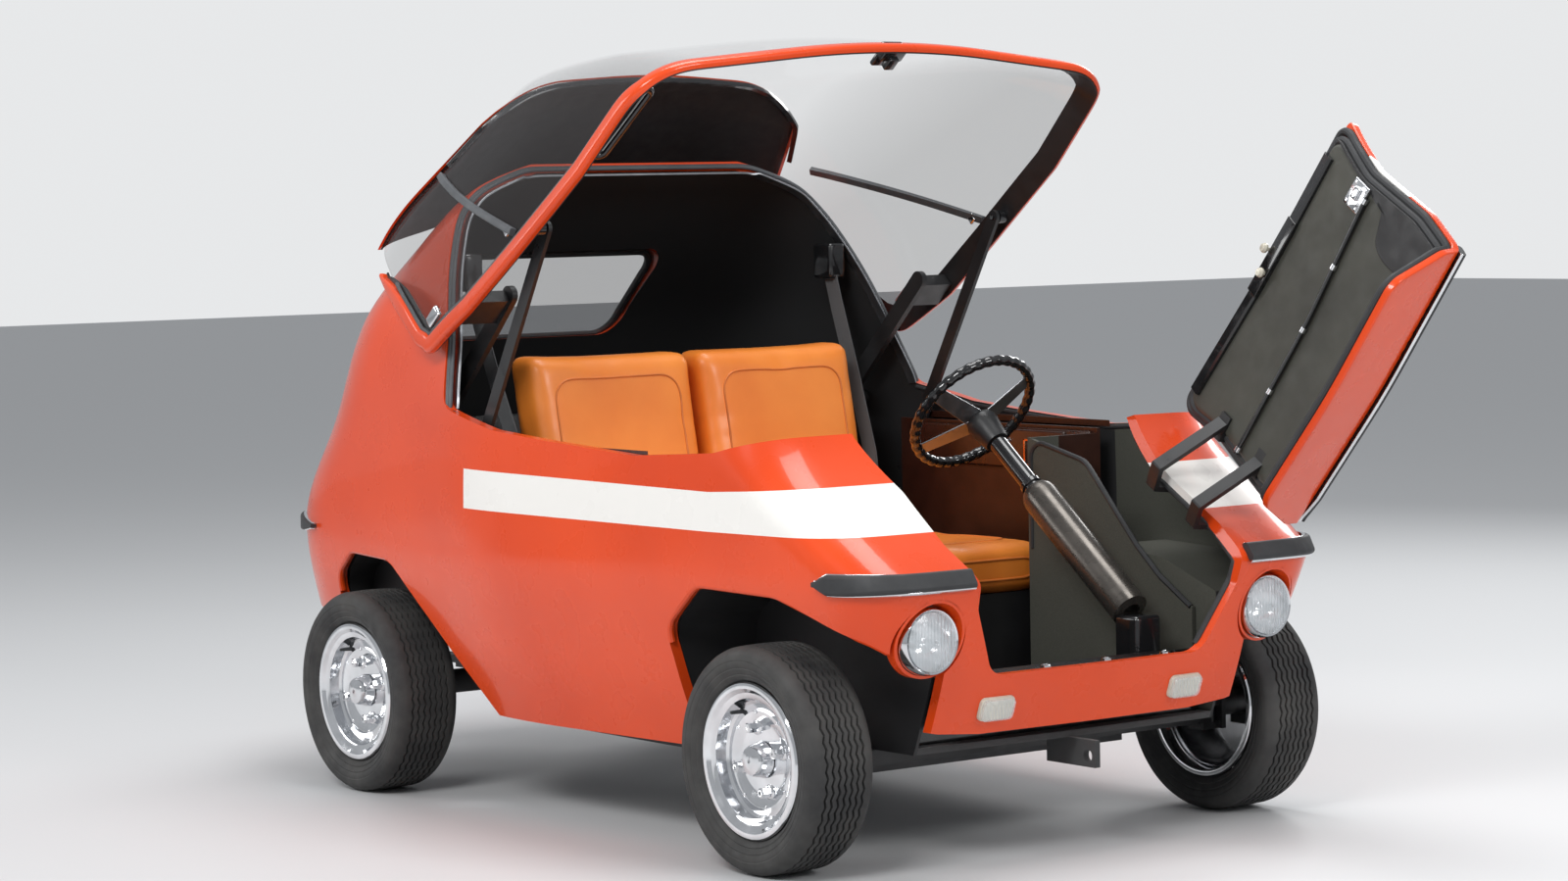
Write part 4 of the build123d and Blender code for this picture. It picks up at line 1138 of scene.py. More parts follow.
def door_fittings():
    """Latch, catch rail with its knobs, the long rod with its clips, and the dark end pocket."""
    plate, outs = on_door([(-246, 640)], 43)
    turn = door_frame(plate[0], outs[0])
    latch = Shape().block((-26, -22, -2), (26, 22, 4), 1.6, turn).block((-16, -8, 3), (8, 8, 10), 2.5, turn)
    for a, b in ((-19, -15), (19, -15), (-19, 15), (19, 15)):
        latch.block((a - 3, b - 3, 3), (a + 3, b + 3, 5.6), 1.2, turn)
    line, _ = on_door([rod_spot(y) for y in range(ROD_ENDS[0], ROD_ENDS[1] - 1, -14)], 46)
    rod = Shape().pipe(line, 4.6)
    clips, _ = on_door([rod_spot(y) for y in ROD_CLIPS], 46)
    for spot in clips:
        latch.lathe([(4, -5), (6.2, -5), (6.2, 5), (4, 5)], spot, (0, 1, 0), 16)
    line, outs = on_door([(y, door_top(y, 24) - 15) for y in range(262, -263, -14)], 42)
    up = np.cross(outs, (0.0, 1.0, 0.0))
    up /= np.linalg.norm(up, axis=1, keepdims=True)
    rod.sweep(line, up, -outs, [(-14, -5), (14, -5), (14, 3), (10, 6), (-10, 6), (-14, 3)])
    plates, outs = on_door([(-39, door_top(-39, 24) - 16)], 48)
    rod.block((-80, -15, -2), (80, 17, 2.4), 2, door_frame(plates[0], outs[0]))
    piece("door_rod_and_rail", rod, [GLOSS_BLACK], "front_door", "black_trim", (), open_door)
    piece("door_latch", latch, [CHROME], "front_door", "chrome", ["door_fittings"], open_door)
    knobs = Shape()
    profile = [(0.01, 0), (4, 0), (4, 3), (8.5, 6), (9.5, 10), (7, 15), (0.01, 16.5)]
    for y, rise in ((-44, -4), (-6, -20)):
        spots, outs = on_door([(y, door_top(y, 24) + rise)], 50)
        knobs.lathe(profile, spots[0], -outs[0], 24)
    piece("door_knobs", knobs, [IVORY], "front_door", "trim", (), open_door)
    door_pocket()


def door_pocket():
    """Dark pocket at the free end of the door's lining."""
    ends = (190, 262, 276, 290), (588, 604, 640, 715)
    side = [(y, z, 1) for y, z in door_shape(27, 20) if y < -190 and 500 < z < np.interp(-y, *ends)]
    outline = rounded(side + [(-190, 500, 1), (-190, 588, 30), (-262, 604, 20)], 3)
    pocket = Shape().add(*padding(resampled(outline, 120, closed=True), 36.0, 41.6, 1.5, 0.0))
    piece("door_pocket", pocket, [BLACK], "front_door", "black_trim", (), open_door)


def door_frame(at, out):
    """Function that lays points with their third place along the lining's inward side at a spot."""
    across = np.array((0.0, 1.0, 0.0))
    up = np.cross(out, across)
    up /= np.linalg.norm(up)
    return lambda points: at + points[:, :1] * across + points[:, 1:2] * up - points[:, 2:] * out


def padding(outline, low, high, edge, crown):
    """A sheet on the door's inside between two depths, with a soft rim and a crown."""
    middle, inward = outline.mean(0), inward_of(outline)
    rings = [(middle + (outline - middle) * share, low) for share in np.linspace(0.04, 1, 10)]
    for a in np.linspace(0, pi / 2, 6):
        rings.append((outline + inward * edge * (1 - cos(a)), high - edge * (1 - sin(a))))
    shrunk = outline + inward * edge
    for share in np.linspace(0.97, 0.04, 16):
        rings.append((middle + (shrunk - middle) * share, high + crown * (1 - share ** 6)))
    return loft([on_door(flat, depth)[0] for flat, depth in rings])


# Wheels

TYRE_R = 198.0
WHEEL_X = 660.5
WHEEL_Y = 521.0
RIM_HALF = 59.0
GROOVES = (-39, -26, -13, 0, 13, 26, 39)


def tyre(end, side, sign):
    """Low, broad tyre with zigzag ribs and ringed walls."""
    wall = [(134, 42), (137, 52), (143, 59), (147, 61), (149, 60.2), (151, 61.6), (158, 65), (160, 64.4),
            (162, 66), (170, 67.6), (172, 67.0), (174, 67.9), (182, 67), (187, 64.5), (191, 60.5),
            (194.4, 55), (196.4, 49.5)]
    segments = 300
    turn = np.linspace(0, 2 * pi, segments, endpoint=False)
    zig = np.abs(((turn * 50 / (2 * pi)) % 1) * 2 - 1) * 4.4 - 2.2
    rings = []
    for r, y in wall:
        rings.append(np.column_stack([r * np.cos(turn), np.full(segments, y), r * np.sin(turn)]))
    for g in GROOVES[::-1]:
        for step, deep in ((2.6, 0.0), (1.5, 5.0), (-1.5, 5.0), (-2.6, 0.0)):
            r = 197.9 - 1.2 * abs(g / 39) ** 2.0 - deep
            rings.append(np.column_stack([r * np.cos(turn), g + step + zig, r * np.sin(turn)]))
    for r, y in wall[::-1]:
        rings.append(np.column_stack([r * np.cos(turn), np.full(segments, -y), r * np.sin(turn)]))
    faces = []
    for i in range(len(rings)):
        a, b = i * segments, (i + 1) % len(rings) * segments
        faces += [(a + k, b + k, b + (k + 1) % segments, a + (k + 1) % segments) for k in range(segments)]
    x = WHEEL_X if end == "front" else -WHEEL_X
    points = np.vstack(rings) * (1, sign, 1) + (x, sign * WHEEL_Y, TYRE_R)
    node = f"tyre_{end}_{side}"
    piece(f"{node}_tread", Shape().add(points, faces), [TYRE], f"wheel_{end}_{side}", "tyre", [node], smooth=30)


def rim(end, side, sign):
    """Bright deep-dish wheel: rolled lip, stepped barrel, disc, hub cap and tall lug nuts."""
    x = WHEEL_X if end == "front" else -WHEEL_X
    at, axis = np.array((x, sign * WHEEL_Y, TYRE_R)), (0, sign, 0)
    face = RIM_HALF - 34.0
    profile = [(17.3, face), (60, face), (66, face + 1), (74, face + 5), (84, face + 6), (90, face + 3),
               (97, face + 2.5), (102, face + 6), (105, face + 14), (107, 49), (112, 51.5), (117, 52.5),
               (120, 55), (124, 58.2), (129, 59), (133.5, 58), (136, 54.5), (134.5, 51), (132.6, 44),
               (128, 42), (120, 34), (118, 28), (118, -28), (120, -34), (128, -42), (132.6, -44),
               (134.5, -51), (136, -54.5), (133.5, -58), (129, -59), (124, -58), (114, -46), (110, -30),
               (110, face - 12), (17.3, face - 12)]
    shape = Shape().lathe(profile, at, axis, segments=96)
    cap = [(19, face + 1), (31, face + 1), (32, face + 3), (31, face + 6), (29, face + 12), (27, face + 24),
           (24, face + 29), (14, face + 31.5), (0.01, face + 32.5), (0.01, face + 28), (19, face + 26)]
    shape.lathe(cap, at, axis, segments=48)
    for k in range(4):
        a = 2 * pi * k / 4 + 0.3
        nut = at + np.array((57 * cos(a), 0, 57 * sin(a)))
        profile = [(0.01, face - 1), (13, face - 1), (13.5, face + 1.5), (11.5, face + 3), (9.6, face + 4)]
        shape.lathe(profile + [(0.01, face + 4)], nut, axis, segments=24)
        lug = [(0.01, face + 3), (9.4, face + 3), (9.4, face + 20), (7.6, face + 22.5), (0.01, face + 23)]
        shape.lathe(lug, nut, axis, segments=6)
    for k in range(8):
        a = 2 * pi * k / 8 + 0.15
        slot = at + np.array((82 * cos(a), 0, 82 * sin(a)))
        shape.lathe([(0.01, face + 5), (3.2, face + 5), (3.2, face + 7), (2.2, face + 7.6), (0.01, face + 7.6)],
                    slot, axis, segments=12)
    stem = at + np.array((96 * cos(2.2), sign * (face + 3), 96 * sin(2.2)))
    node = f"rim_{end}_{side}"
    piece(f"{node}_chrome", shape, [CHROME], f"wheel_{end}_{side}", "chrome", [node], smooth=28)
    valve = Shape().lathe([(0.01, 0), (4, 0), (3.4, 16), (2.8, 24), (0.01, 25)], stem, axis, segments=12)
    piece(f"valve_{end}_{side}", valve, [RUBBER], f"wheel_{end}_{side}", "rubber")


# Steering wheel


def steering():
    """Finger-grip rim, three flat spokes, cone hub, and the column's sleeves."""
    drop = radians(STEER_DROP)
    hub = np.array(STEER_AT)
    along = np.array((cos(drop), 0, -sin(drop)))
    side = np.array((0.0, 1.0, 0.0))
    up = np.cross(along, side)
    turn = np.linspace(0, 2 * pi, 288, endpoint=False)
    ring = hub + STEER_R * (np.cos(turn)[:, None] * side + np.sin(turn)[:, None] * up)
    grip = 9.8 + 0.7 * np.cos(turn * 36)
    shape = Shape().pipe(ring, grip, closed=True, sides=16)
    piece("steering_rim", shape, [GLOSS_BLACK], "steering", "black_trim", ["steering_wheel"], smooth=60)
    spokes = Shape()
    for degrees in SPOKES:
        out = side * cos(radians(degrees)) + up * sin(radians(degrees))
        across = np.cross(along, out)
        ends, profile = [], []
        for share in np.linspace(0, 1, 8):
            ends.append(hub + out * (20 + (STEER_R - 24) * share) + along * HUB_DISH * (1 - share))
            half = 20 - 5 * share
            profile.append([(-half, -1.4), (half, -1.4), (half, 1.4), (-half, 1.4)])
        spokes.sweep(ends, [across] * 8, [along] * 8, np.array(profile))
    piece("steering_spokes", spokes, [ALLOY], "steering", "steel", bevel=0.8)
    cone = Shape().lathe([(0.01, 20), (20, 20), (28, 26), (31, 34), (30, 44), (25, 82), (23, 90), (0.01, 90)],
                         hub, along, segments=48)
    piece("steering_hub", cone, [BLACK], "steering", "black_trim")
    tube = [(0.01, 92), (18, 92), (18, 205), (21, 208), (21, 216), (18, 219), (18, 540), (0.01, 540)]
    column = Shape().lathe(tube, hub, along, segments=40)
    column.block((727, 194, 236), (787, 256, 392), 8)
    piece("column_tube", column, [GLOSS_BLACK], "root", "black_trim", ["steering_column"])
    cover = [(18, 226), (28, 229), (33, 238), (35, 250), (35, 556), (18, 560)]
    sleeve = Shape().lathe(cover, hub, along, segments=48)
    piece("column_sleeve", sleeve, [SLEEVE], "root", "steel")


# Body details


def belt_path(sign):
    """Line on the body just under the canopy's seam, on one side."""
    xs, zs = zip(*BELT_LINE)
    return traced(BODY.side, [(x, np.interp(x, xs, zs) - 4 - SEAM, sign) for x in np.arange(-288, 560, 8.0)])


def body_seals():
    """Black belt seals, the hoop's double rubber and its grey inner band."""
    shape = Shape()
    for _, sign in SIDES:
        points, normals = belt_path(sign)
        shape.pipe(points - normals * 9 - (0, 0, 3), 5.5, sides=10)
        shape.pipe(points - normals * 18 - (0, 0, 4), 5.0, sides=10)
    piece("belt_seals", shape, [RUBBER], "root", "rubber")
    points, normals = traced(BODY.side, [(hoop_x(z) - SEAM + 4, z) for z in np.arange(770, 1226, 6.0)])
    top = []
    for share in np.linspace(0, 1, 40)[1:-1]:
        y = points[-1][1] * (1 - 2 * share)
        top.append((points[-1][0] + 3 * sin(pi * share), y, 1229 - 2.0))
    ridges = Shape()
    up = np.tile((0, 0, 1.0), (len(top), 1))
    flip = np.array((1, -1, 1))
    path = np.vstack([points, top, points[::-1] * flip])
    outs = np.vstack([normals, up, normals[::-1] * flip])
    for _ in range(3):
        path[1:-1] = (path[:-2] + 2 * path[1:-1] + path[2:]) / 4
    for ahead, deep, radius in ((0, 7, 5.0), (6.5, 8.5, 4.0)):
        ridges.pipe(path + (ahead, 0, 0) - outs * deep, radius, sides=12)
    piece("hoop_ridges", ridges, [GREY_RUBBER], "root", "rubber", ["hoop_seal"])
    across = across_of(path, outs)
    if across[0][0] < 0:
        across = -across
    inner = Shape().sweep(path - outs * 20, across, outs, rounded_band(-6, 16, -3, 1.5, 2))
    piece("hoop_inner_band", inner, [ALLOY], "root", "steel", smooth=50)


def arch_lips():
    """Rolled edges round the wheel arches."""
    shape = Shape()
    for corners in (FRONT_ARCH, REAR_ARCH):
        for _, sign in SIDES:
            spots = [(x, z, sign) for x, z in rounded(corners, 5)
                     if x <= 903 and z >= (HEM_Z if x > TAIL_HEM_X else TAIL_HEM_Z) + 2]
            line, outs = traced(BODY.side, spots)
            shape.pipe(resampled(line - outs * 7.0, 120), 7.2, sides=10)
    piece("arch_lips", shape, [PAINT], "root", "paint")


def bumper_strips():
    """Rubber bumper strips with bright edges, pointed at their ends."""
    rubber, bright = Shape(), Shape()
    for _, sign in SIDES:
        spots = [(STRIP_Z, place, sign) for place in np.linspace(0, RING_POINTS / 2, 400)]
        line, outs = traced(BODY.pick, spots)
        held = (np.abs(line[:, 1]) >= STRIP_FRONT_Y) & (line[:, 0] > STRIP_FRONT_X)
        strip(rubber, bright, line[held], outs[held], taper=1)
    line, outs = traced(BODY.pick, [(STRIP_Z, place, 1) for place in np.linspace(RING_POINTS / 2, 0, 400)])
    held = line[:, 0] < STRIP_REAR_X
    line, outs = line[held], outs[held]
    flip = np.array((1, -1, 1))
    strip(rubber, bright, np.vstack([line[::-1] * flip, line[1:]]), np.vstack([outs[::-1] * flip, outs[1:]]), 2)
    piece("bumper_rubbers", rubber, [RUBBER], "root", "rubber", ["bumper_strips"], smooth=40)
    piece("bumper_edges", bright, [CHROME], "root", "chrome", smooth=50)


def strip(rubber, bright, line, outs, taper):
    """One bumper strip along a level line; it narrows at as many of its ends as taper says."""
    both = resampled(np.hstack([line, outs]), 160)
    line, outs = both[:, :3], both[:, 3:]
    across = across_of(line, outs)
    count = len(line)
    from_end = np.arange(count)[::-1] / 16
    if taper == 2:
        from_end = np.minimum(from_end, np.arange(count) / 16)
    share = np.clip(from_end, 0.15, 1)[:, None] ** 0.7
    made = np.repeat(rounded_band(-18, 18, -0.5, 12.5, 7)[None], count, 0)
    made[:, :, 0] *= share
    rubber.sweep(line, across, outs, made)
    for sign in (1, -1):
        edge = np.repeat(rounded_band(-2.2, 2.2, -0.5, 5.5, 2)[None], count, 0)
        edge[:, :, 0] += sign * 17.4 * share
        bright.sweep(line, across, outs, edge)


def turn_signals():
    """Oblong turn signals on the nose: pale bases with fluted lenses."""
    base, lens = Shape(), Shape()
    outline = round_rect(-37, 37, -20, 20, 10)
    for _, sign in SIDES:
        for target, low, high, size in ((base, -2, 6.5, 1.0), (lens, 6, 13.4, 0.93)):
            rings = [(low, size), (high - 3, size), (high - 1, size * 0.97), (high, size * 0.9),
                     (high + 0.2, 0.5), (high + 0.3, 0.05)]
            target.add(*loft([on_door(outline * share + (sign * SIGNAL_Y, SIGNAL_Z), -rise)[0]
                              for rise, share in rings]))
    piece("signal_bases", base, [IVORY], "root", "lamp_glass", ["turn_signals"])
    piece("signal_lenses", lens, [LENS], "root", "lamp_glass")


def canopy_fittings():
    """Latch with its catch, grab handle, lift-bar studs and the bright corner stops."""
    loop = rounded([(338, -548, 1), (338, -508, 14), (514, -486, 14), (514, -524, 1)], 4, False)
    rise = np.interp(loop[:, 0], [338, 514], [742, 748])
    black = Shape().pipe(np.column_stack([loop, rise]), 7.5)
    for _, sign in SIDES:
        black.lathe([(0.01, 525), (6, 525), (6, 540), (13, 540), (13, 556), (0.01, 556)], (137, 0, 739),
                    (0, sign, 0), 24)
    black.block((592, -25, 742), (622, 25, 770), 5)
    black.block((578, -11, 735), (606, 11, 750), 3)
    black.block((560, -16, 762), (600, 16, 772), 3)
    piece("canopy_latch_and_handle", black, [GLOSS_BLACK], "canopy", "black_trim", ["canopy_fittings"],
          open_canopy)
    stops = Shape()
    for _, sign in SIDES:
        for x, z, half, radius in ((-232, 829, (22, 5, 12), 4), (61, 800, (9, 4, 9), 3)):
            point, normal = CANOPY.side(x, z, sign)
            middle = point - normal * 9
            stops.block(middle - half, middle + half, radius)
    piece("canopy_corner_stops", stops, [CHROME], "canopy", "chrome", (), open_canopy)


def side_panels():
    """Inner side panels, the left one with a vent, a bright strip and a button."""
    panel, vent, bars, bright = Shape(), Shape(), Shape(), Shape()
    panel.block((-180, 489, 613), (330, 496.5, 694), 5)
    panel.block((96, 483, 618), (262, 490, 690), 4)
    for x0, x1, z0, z1 in ((146, 222, 668, 673), (146, 222, 619, 624), (146, 152, 619, 673),
                           (216, 222, 619, 673)):
        vent.block((x0, 477, z0), (x1, 483.5, z1), 1.5)
    bars.block((150, 480, 622), (218, 484, 670), 1)
    for k in range(7):
        bars.block((158 + k * 8, 476, 628), (162 + k * 8, 481, 664), 1)
    bright.block((126, 481, 604), (244, 489, 611), 2)
    bright.lathe([(0.01, 478), (6, 478), (8, 481), (8, 486), (0.01, 486)], (88, 0, 666), (0, 1, 0), 24)
    panel.mirrored()
    piece("side_panel_pads", panel, [BROWN], "root", "trim")
    piece("vent_frame", vent, [COPPER], "root", "chrome")
    piece("vent_bars", bars, [BLACK], "root", "black_trim")
    piece("panel_strip", bright, [CHROME], "root", "chrome")


def opening_edging():
    """Black rubber edging of the kick panels and round the door opening."""
    shape = Shape()
    kick, opening = rounded(KICK_EDGE, 6, False), rounded(OPENING_EDGE, 6, False)
    for _, sign in SIDES:
        path = np.column_stack([kick[:, 0], np.full(len(kick), sign * KICK_Y), kick[:, 1]])
        shape.pipe(resampled(path, 120), 5.0, sides=8)
        line, _ = on_door([(sign * (y + 5), z) for y, z in opening], 22)
        shape.pipe(resampled(line, 90), 6.5, sides=10)
    piece("opening_edging", shape, [RUBBER], "root", "rubber")


def sill_plate():
    """Ribbed sill plate with round caps, at the foot of the door opening."""
    plate, caps = Shape(), Shape()
    plate.block((792, -234, 326.2), (893, 234, 328.6), 1.0)
    for k in range(11):
        plate.block((800 + k * 8, -228, 328), (803.5 + k * 8, 228, 330), 0.8)
    for y in (-208, -70, 70, 208):
        caps.lathe([(0.01, 330), (10.5, 330), (9.5, 334), (5, 336), (0.01, 336.5)], (846, y, 0), (0, 0, 1), 28)
    piece("sill_ribs", plate, [GLOSS_BLACK], "root", "black_trim")
    piece("sill_caps", caps, [CHROME], "root", "chrome")


def seat_belts():
    """Grey belts from the retractors on the pillars down to the seats."""
    webbing, cases = Shape(), Shape()
    for _, sign in SIDES:
        line = resampled(np.array(BELT_ROUTE, float) * (1, sign, 1), 60)
        across = np.tile((0.75, 0.0, 0.66), (len(line), 1))
        outs = np.cross(across, np.gradient(line, axis=0))
        outs /= np.linalg.norm(outs, axis=1, keepdims=True)
        webbing.sweep(line, across, outs, [(-22, -0.9), (22, -0.9), (22, 0.9), (-22, 0.9)])
        y0, y1 = sorted((sign * 420, sign * 462))
        cases.block((-452, y0, 985), (-392, y1, 1058), 8)
    piece("belt_webbing", webbing, [BELT], "root", "liner")
    piece("belt_retractors", cases, [GLOSS_BLACK], "root", "black_trim")


def rear_window_trim():
    """Rubber gasket round the rear window."""
    spots = []
    for y, z in round_rect(-252, 252, 871, 1049, 46, 6):
        points, _ = BODY.level(z)
        half = points[:len(points) // 2 + 1]
        tail = int(np.argmax(half[:, 1]))
        place = np.interp(-abs(y), -half[tail:, 1], np.arange(tail, len(half)))
        spots.append((z, place, 1 if y >= 0 else -1))
    line, outs = traced(BODY.pick, spots)
    gasket = Shape().pipe(line - outs * 3, 8.0, closed=True, sides=10)
    piece("rear_window_gasket", gasket, [RUBBER], "root", "rubber")


# Seats


def seam_on(cushion, corners, name, radius=2.2):
    """A sewn bead that follows a cushion's surface; its darker orange is painted shade of a sunken seam."""
    flat = resampled(rounded_loop(corners, 40), 160, closed=True)
    line = []
    for spot in flat:
        _, place, _, _ = cushion.closest_point_on_mesh(Vector((spot + (ORIGIN_X, 0, 0)) * MM))
        line.append(np.array(place) / MM - (ORIGIN_X, 0, 0))
    line = np.array(line)
    for _ in range(4):
        line = (np.roll(line, 1, 0) + 2 * line + np.roll(line, -1, 0)) / 4
    piece(name, Shape().pipe(line, radius, closed=True, sides=8), [SHADED_PIPING], "root", "leather")


def rounded_loop(corners, radius):
    """A flat four-cornered loop in space with round corners."""
    corners = np.array(corners, float)
    origin, first = corners[0], corners[1] - corners[0]
    second = corners[3] - corners[0]
    a, b = np.linalg.norm(first), np.linalg.norm(second)
    flat = round_rect(0, a, 0, b, radius, 6)
    return origin + flat[:, :1] * first / a + flat[:, 1:] * second / b


def seat_shape(corners, y0, y1, radius):
    """Blank of a cushion over a side-view outline, with well-rounded edges."""
    mesh = bmesh.new()
    low = [mesh.verts.new((x, y0, z)) for x, z in corners]
    high = [mesh.verts.new((x, y1, z)) for x, z in corners]
    count = len(corners)
    mesh.faces.new(low)
    mesh.faces.new(high[::-1])
    for k in range(count):
        mesh.faces.new((low[k], low[(k + 1) % count], high[(k + 1) % count], high[k]))
    bmesh.ops.bevel(mesh, geom=mesh.edges[:], offset=radius, segments=5, profile=0.5, affect="EDGES")
    bmesh.ops.recalc_face_normals(mesh, faces=mesh.faces)
    points = np.array([vertex.co for vertex in mesh.verts])
    faces = [[vertex.index for vertex in face.verts] for face in mesh.faces]
    mesh.free()
    return Shape().add(points, faces)


def soft_cushion(name, corners, y0, y1, node):
    """A cushion blown up by a cloth simulation, then smoothed."""
    obj = seat_shape(corners, y0, y1, 22).raw(name, [LEATHER])
    tidy_mesh(obj)
    obj.data.transform(Matrix.Scale(MM, 4))
    remesh = obj.modifiers.new("remesh", "REMESH")
    remesh.mode = "VOXEL"
    remesh.voxel_size = 0.009
    freeze(obj)
    start = np.zeros(len(obj.data.vertices) * 3)
    obj.data.vertices.foreach_get("co", start)
    cloth = obj.modifiers.new("cloth", "CLOTH")
    settings = cloth.settings
    settings.use_pressure = True
    settings.uniform_pressure_force = 4.0
    settings.effector_weights.gravity = 0
    settings.quality = 6
    settings.tension_stiffness = settings.compression_stiffness = settings.shear_stiffness = 25
    settings.bending_stiffness = 3
    cloth.point_cache.frame_start, cloth.point_cache.frame_end = 1, 20
    for number in range(1, 21):
        bpy.context.scene.frame_set(number)
    freeze(obj)
    bpy.context.scene.frame_set(1)
    end = np.zeros(len(start))
    obj.data.vertices.foreach_get("co", end)
    start, end = start.reshape(-1, 3), end.reshape(-1, 3)
    move = end - start
    length = np.linalg.norm(move, axis=1, keepdims=True)
    move *= np.minimum(1, SWELL * MM / np.maximum(length, 1e-9))
    obj.data.vertices.foreach_set("co", (start + move).ravel())
    smooth = obj.modifiers.new("smooth", "SMOOTH")
    smooth.factor, smooth.iterations = 0.5, 4
    freeze(obj)
    points = np.zeros(len(obj.data.vertices) * 3)
    obj.data.vertices.foreach_get("co", points)
    obj.data.vertices.foreach_set("co", points / MM)
    settle(obj, "root", "leather", [node], smooth=60)
    return obj


def seats():
    """Two cushions and two backs with piped edges; the piping's darker colour is painted shade."""
    for side, y0, y1 in (("left", SEAT_INNER, SEAT_OUTER), ("right", -SEAT_OUTER, -SEAT_INNER)):
        seat = soft_cushion(f"cushion_{side}", CUSHION, y0, y1, "seat_cushions")
        back = soft_cushion(f"back_{side}", BACK, y0, y1, "seat_backs")
        low, high = y0 + 46, y1 - 46
        top = [(-120, low, 500), (262, low, 500), (262, high, 500), (-120, high, 500)]
        seam_on(seat, top, f"cushion_seam_{side}")
        face = [(-190, low, 520), (-252, low, 818), (-252, high, 818), (-190, high, 520)]
        seam_on(back, face, f"back_seam_{side}")
        front = [(345, y0 + 24, 420), (345, y0 + 24, 462), (345, y1 - 24, 462), (345, y1 - 24, 420)]
        seam_on(seat, front, f"cushion_welt_{side}", 2.6)


def make_scene():
    """Pale floor, soft lamps and the camera of the photograph."""
    scene = bpy.context.scene
    scene.view_settings.view_transform = "Standard"
    floor = Shape().prism([(-30000, -30000), (30000, -30000), (30000, 30000), (-30000, 30000)], -20, 0, "above")
    obj = floor.raw("floor", [floor_material()])
    tidy_mesh(obj)
    obj.data.transform(Matrix.Scale(MM, 4))
    make_world(scene)
    make_lamps(scene)
    make_camera(scene)


def make_world(scene):
    """Soft bluish light all round; the camera sees a plain grey."""
    world = bpy.data.worlds.new("studio")
    scene.world = world
    world.use_nodes = True
    tree = world.node_tree
    tree.nodes.clear()
    out = tree.nodes.new("ShaderNodeOutputWorld")
    light = tree.nodes.new("ShaderNodeBackground")
    light.inputs["Color"].default_value = (0.93, 0.96, 1.0, 1)
    light.inputs["Strength"].default_value = 0.45
    shown = tree.nodes.new("ShaderNodeBackground")
    shown.inputs["Color"].default_value = (0.8, 0.81, 0.82, 1)
    shown.inputs["Strength"].default_value = 1.0
    rays = tree.nodes.new("ShaderNodeLightPath")
    seen = tree.nodes.new("ShaderNodeMath")
    seen.operation = "MAXIMUM"
    tree.links.new(rays.outputs["Is Camera Ray"], seen.inputs[0])
    tree.links.new(rays.outputs["Is Transmission Ray"], seen.inputs[1])
    mixed = tree.nodes.new("ShaderNodeMixShader")
    for value, socket in zip((seen, light, shown), mixed.inputs):
        tree.links.new(value.outputs[0], socket)
    tree.links.new(mixed.outputs[0], out.inputs[0])


def make_lamps(scene):
    """Five area lamps."""
    # name, place, target, size, power
    lamps = [("key", (2.5, -4.5, 4.2), (0, 0, 0.6), 2.6, 190),
             ("front", (5.5, 1.0, 3.2), (0.2, 0, 0.6), 2.0, 90),
             ("fill", (-4.0, -4.0, 2.6), (-0.3, 0, 0.6), 3.0, 70),
             ("top", (0.0, 0.4, 4.6), (0, 0, 0.5), 3.2, 110),
             ("back", (-2.0, 5.0, 3.2), (0, 0, 0.7), 2.5, 90)]
    for name, place, target, size, power in lamps:
        data = bpy.data.lights.new(name, "AREA")
        data.shape = "RECTANGLE"
        data.size, data.size_y, data.energy = size, size * 0.55, power
        lamp = bpy.data.objects.new(name, data)
        lamp.location = place
        lamp.rotation_euler = (Vector(place) - Vector(target)).to_track_quat("Z", "Y").to_euler()
        scene.collection.objects.link(lamp)


def make_camera(scene):
    """The photograph's camera."""
    camera = bpy.data.objects.new("camera", bpy.data.cameras.new("camera"))
    camera.data.lens, camera.data.sensor_width = FOCAL_LENGTH, 36.0
    camera.data.clip_end = 100
    look = Vector((cos(CAMERA_PITCH) * cos(CAMERA_YAW), cos(CAMERA_PITCH) * sin(CAMERA_YAW), sin(CAMERA_PITCH)))
    right = look.cross(Vector((0, 0, 1))).normalized()
    up = right.cross(look)
    tilted = right * cos(CAMERA_ROLL) + up * sin(CAMERA_ROLL)
    upright = up * cos(CAMERA_ROLL) - right * sin(CAMERA_ROLL)
    turn = Matrix((tilted, upright, -look)).transposed().to_4x4()
    camera.matrix_world = Matrix.Translation(Vector(CAMERA_AT) * MM + Vector((ORIGIN_X * MM, 0, 0))) @ turn
    scene.collection.objects.link(camera)
    scene.camera = camera


def floor_material():
    """Pale plain floor."""
    return Nodes("floor", (0.62, 0.625, 0.63), 0.55).material


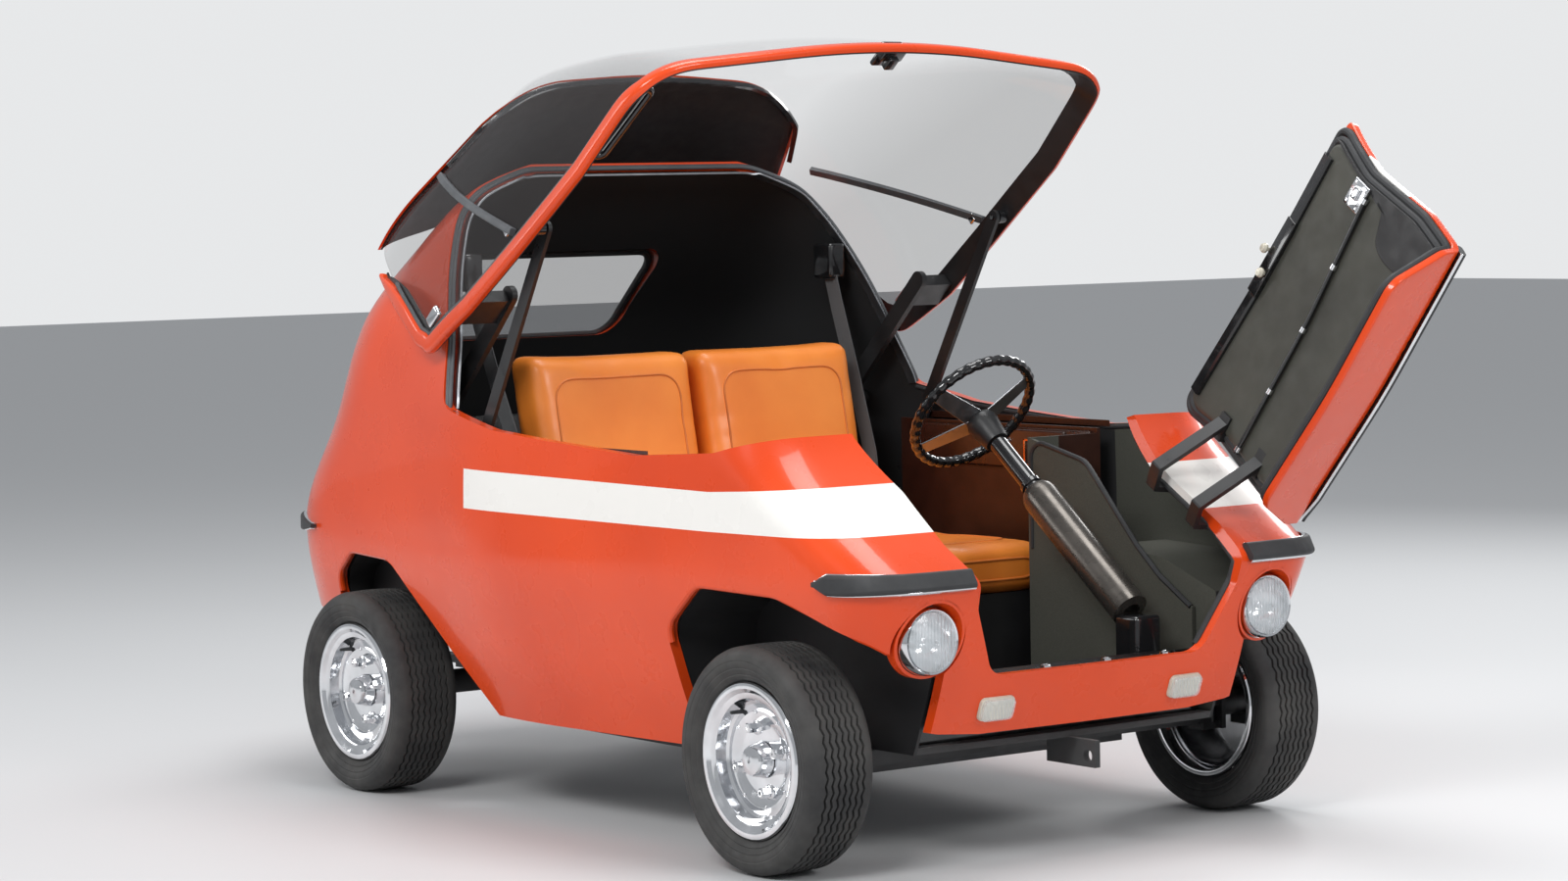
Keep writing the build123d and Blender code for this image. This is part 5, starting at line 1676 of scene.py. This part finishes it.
def dress_cad():
    """Procedural finishes for the CAD nodes that keep their shape."""
    finishes = {
        "rear_window": SMOKED, "wheel_tubs": TUB, "floor_pan": CARPET, "cabin_trim": LINING,
        "door_sill": GLOSS_BLACK, "rear_shelf": CARPET, "turn_signals": LENS, "tail_lamps": RED_LENS,
        "bumper_strips": RUBBER, "canopy_pins": STEEL, "hinge_lugs": STEEL, "front_axle": STEEL,
        "rear_axle": CAST, "rear_springs": STEEL, "battery_pack": CAST, "seat_base": BLACK,
        "seat_cushions": LEATHER, "seat_backs": LEATHER, "steering_column": BLACK, "steering_wheel": GLOSS_BLACK,
        "canopy_arms": STEEL, "canopy_fittings": BLACK, "lift_bar_left": STEEL, "lift_bar_right": STEEL,
        "door_strip": RUBBER, "door_hinges": STEEL, "door_fittings": CHROME, "knuckle_left": STEEL,
        "knuckle_right": STEEL, "hoop_seal": RUBBER, "canopy_rail": PAINT, "canopy_roof": PAINT,
        "canopy_liner": HEADLINER, "canopy_glass": SMOKED, "door_outer": PAINT, "door_inner": OLIVE}
    softened = (
        "rear_window", "cabin_trim", "door_sill", "rear_shelf", "canopy_pins", "hinge_lugs", "front_axle",
        "rear_axle", "rear_springs", "battery_pack", "seat_base", "canopy_arms", "lift_bar_left",
        "lift_bar_right", "door_hinges", "knuckle_left", "knuckle_right")
    for end in ("front", "rear"):
        for side, _ in SIDES:
            finishes[f"tyre_{end}_{side}"] = TYRE
            finishes[f"rim_{end}_{side}"] = CHROME
    for name, material in finishes.items():
        obj = frame["nodes"].get(name)
        if obj is None:
            continue
        for held in obj.material_slots:
            held.material = material
        if name in softened:
            soften(obj, 1.6)


make_scene()
dress_cad()
SEAM_PATH = seam_path()
body_skin()
lamp_scoops()
headlamps()
canopy()
door()
for end in ("front", "rear"):
    for side, sign in SIDES:
        tyre(end, side, sign)
        rim(end, side, sign)
steering()
body_seals()
arch_lips()
bumper_strips()
turn_signals()
side_panels()
opening_edging()
sill_plate()
seat_belts()
rear_window_trim()
seats()
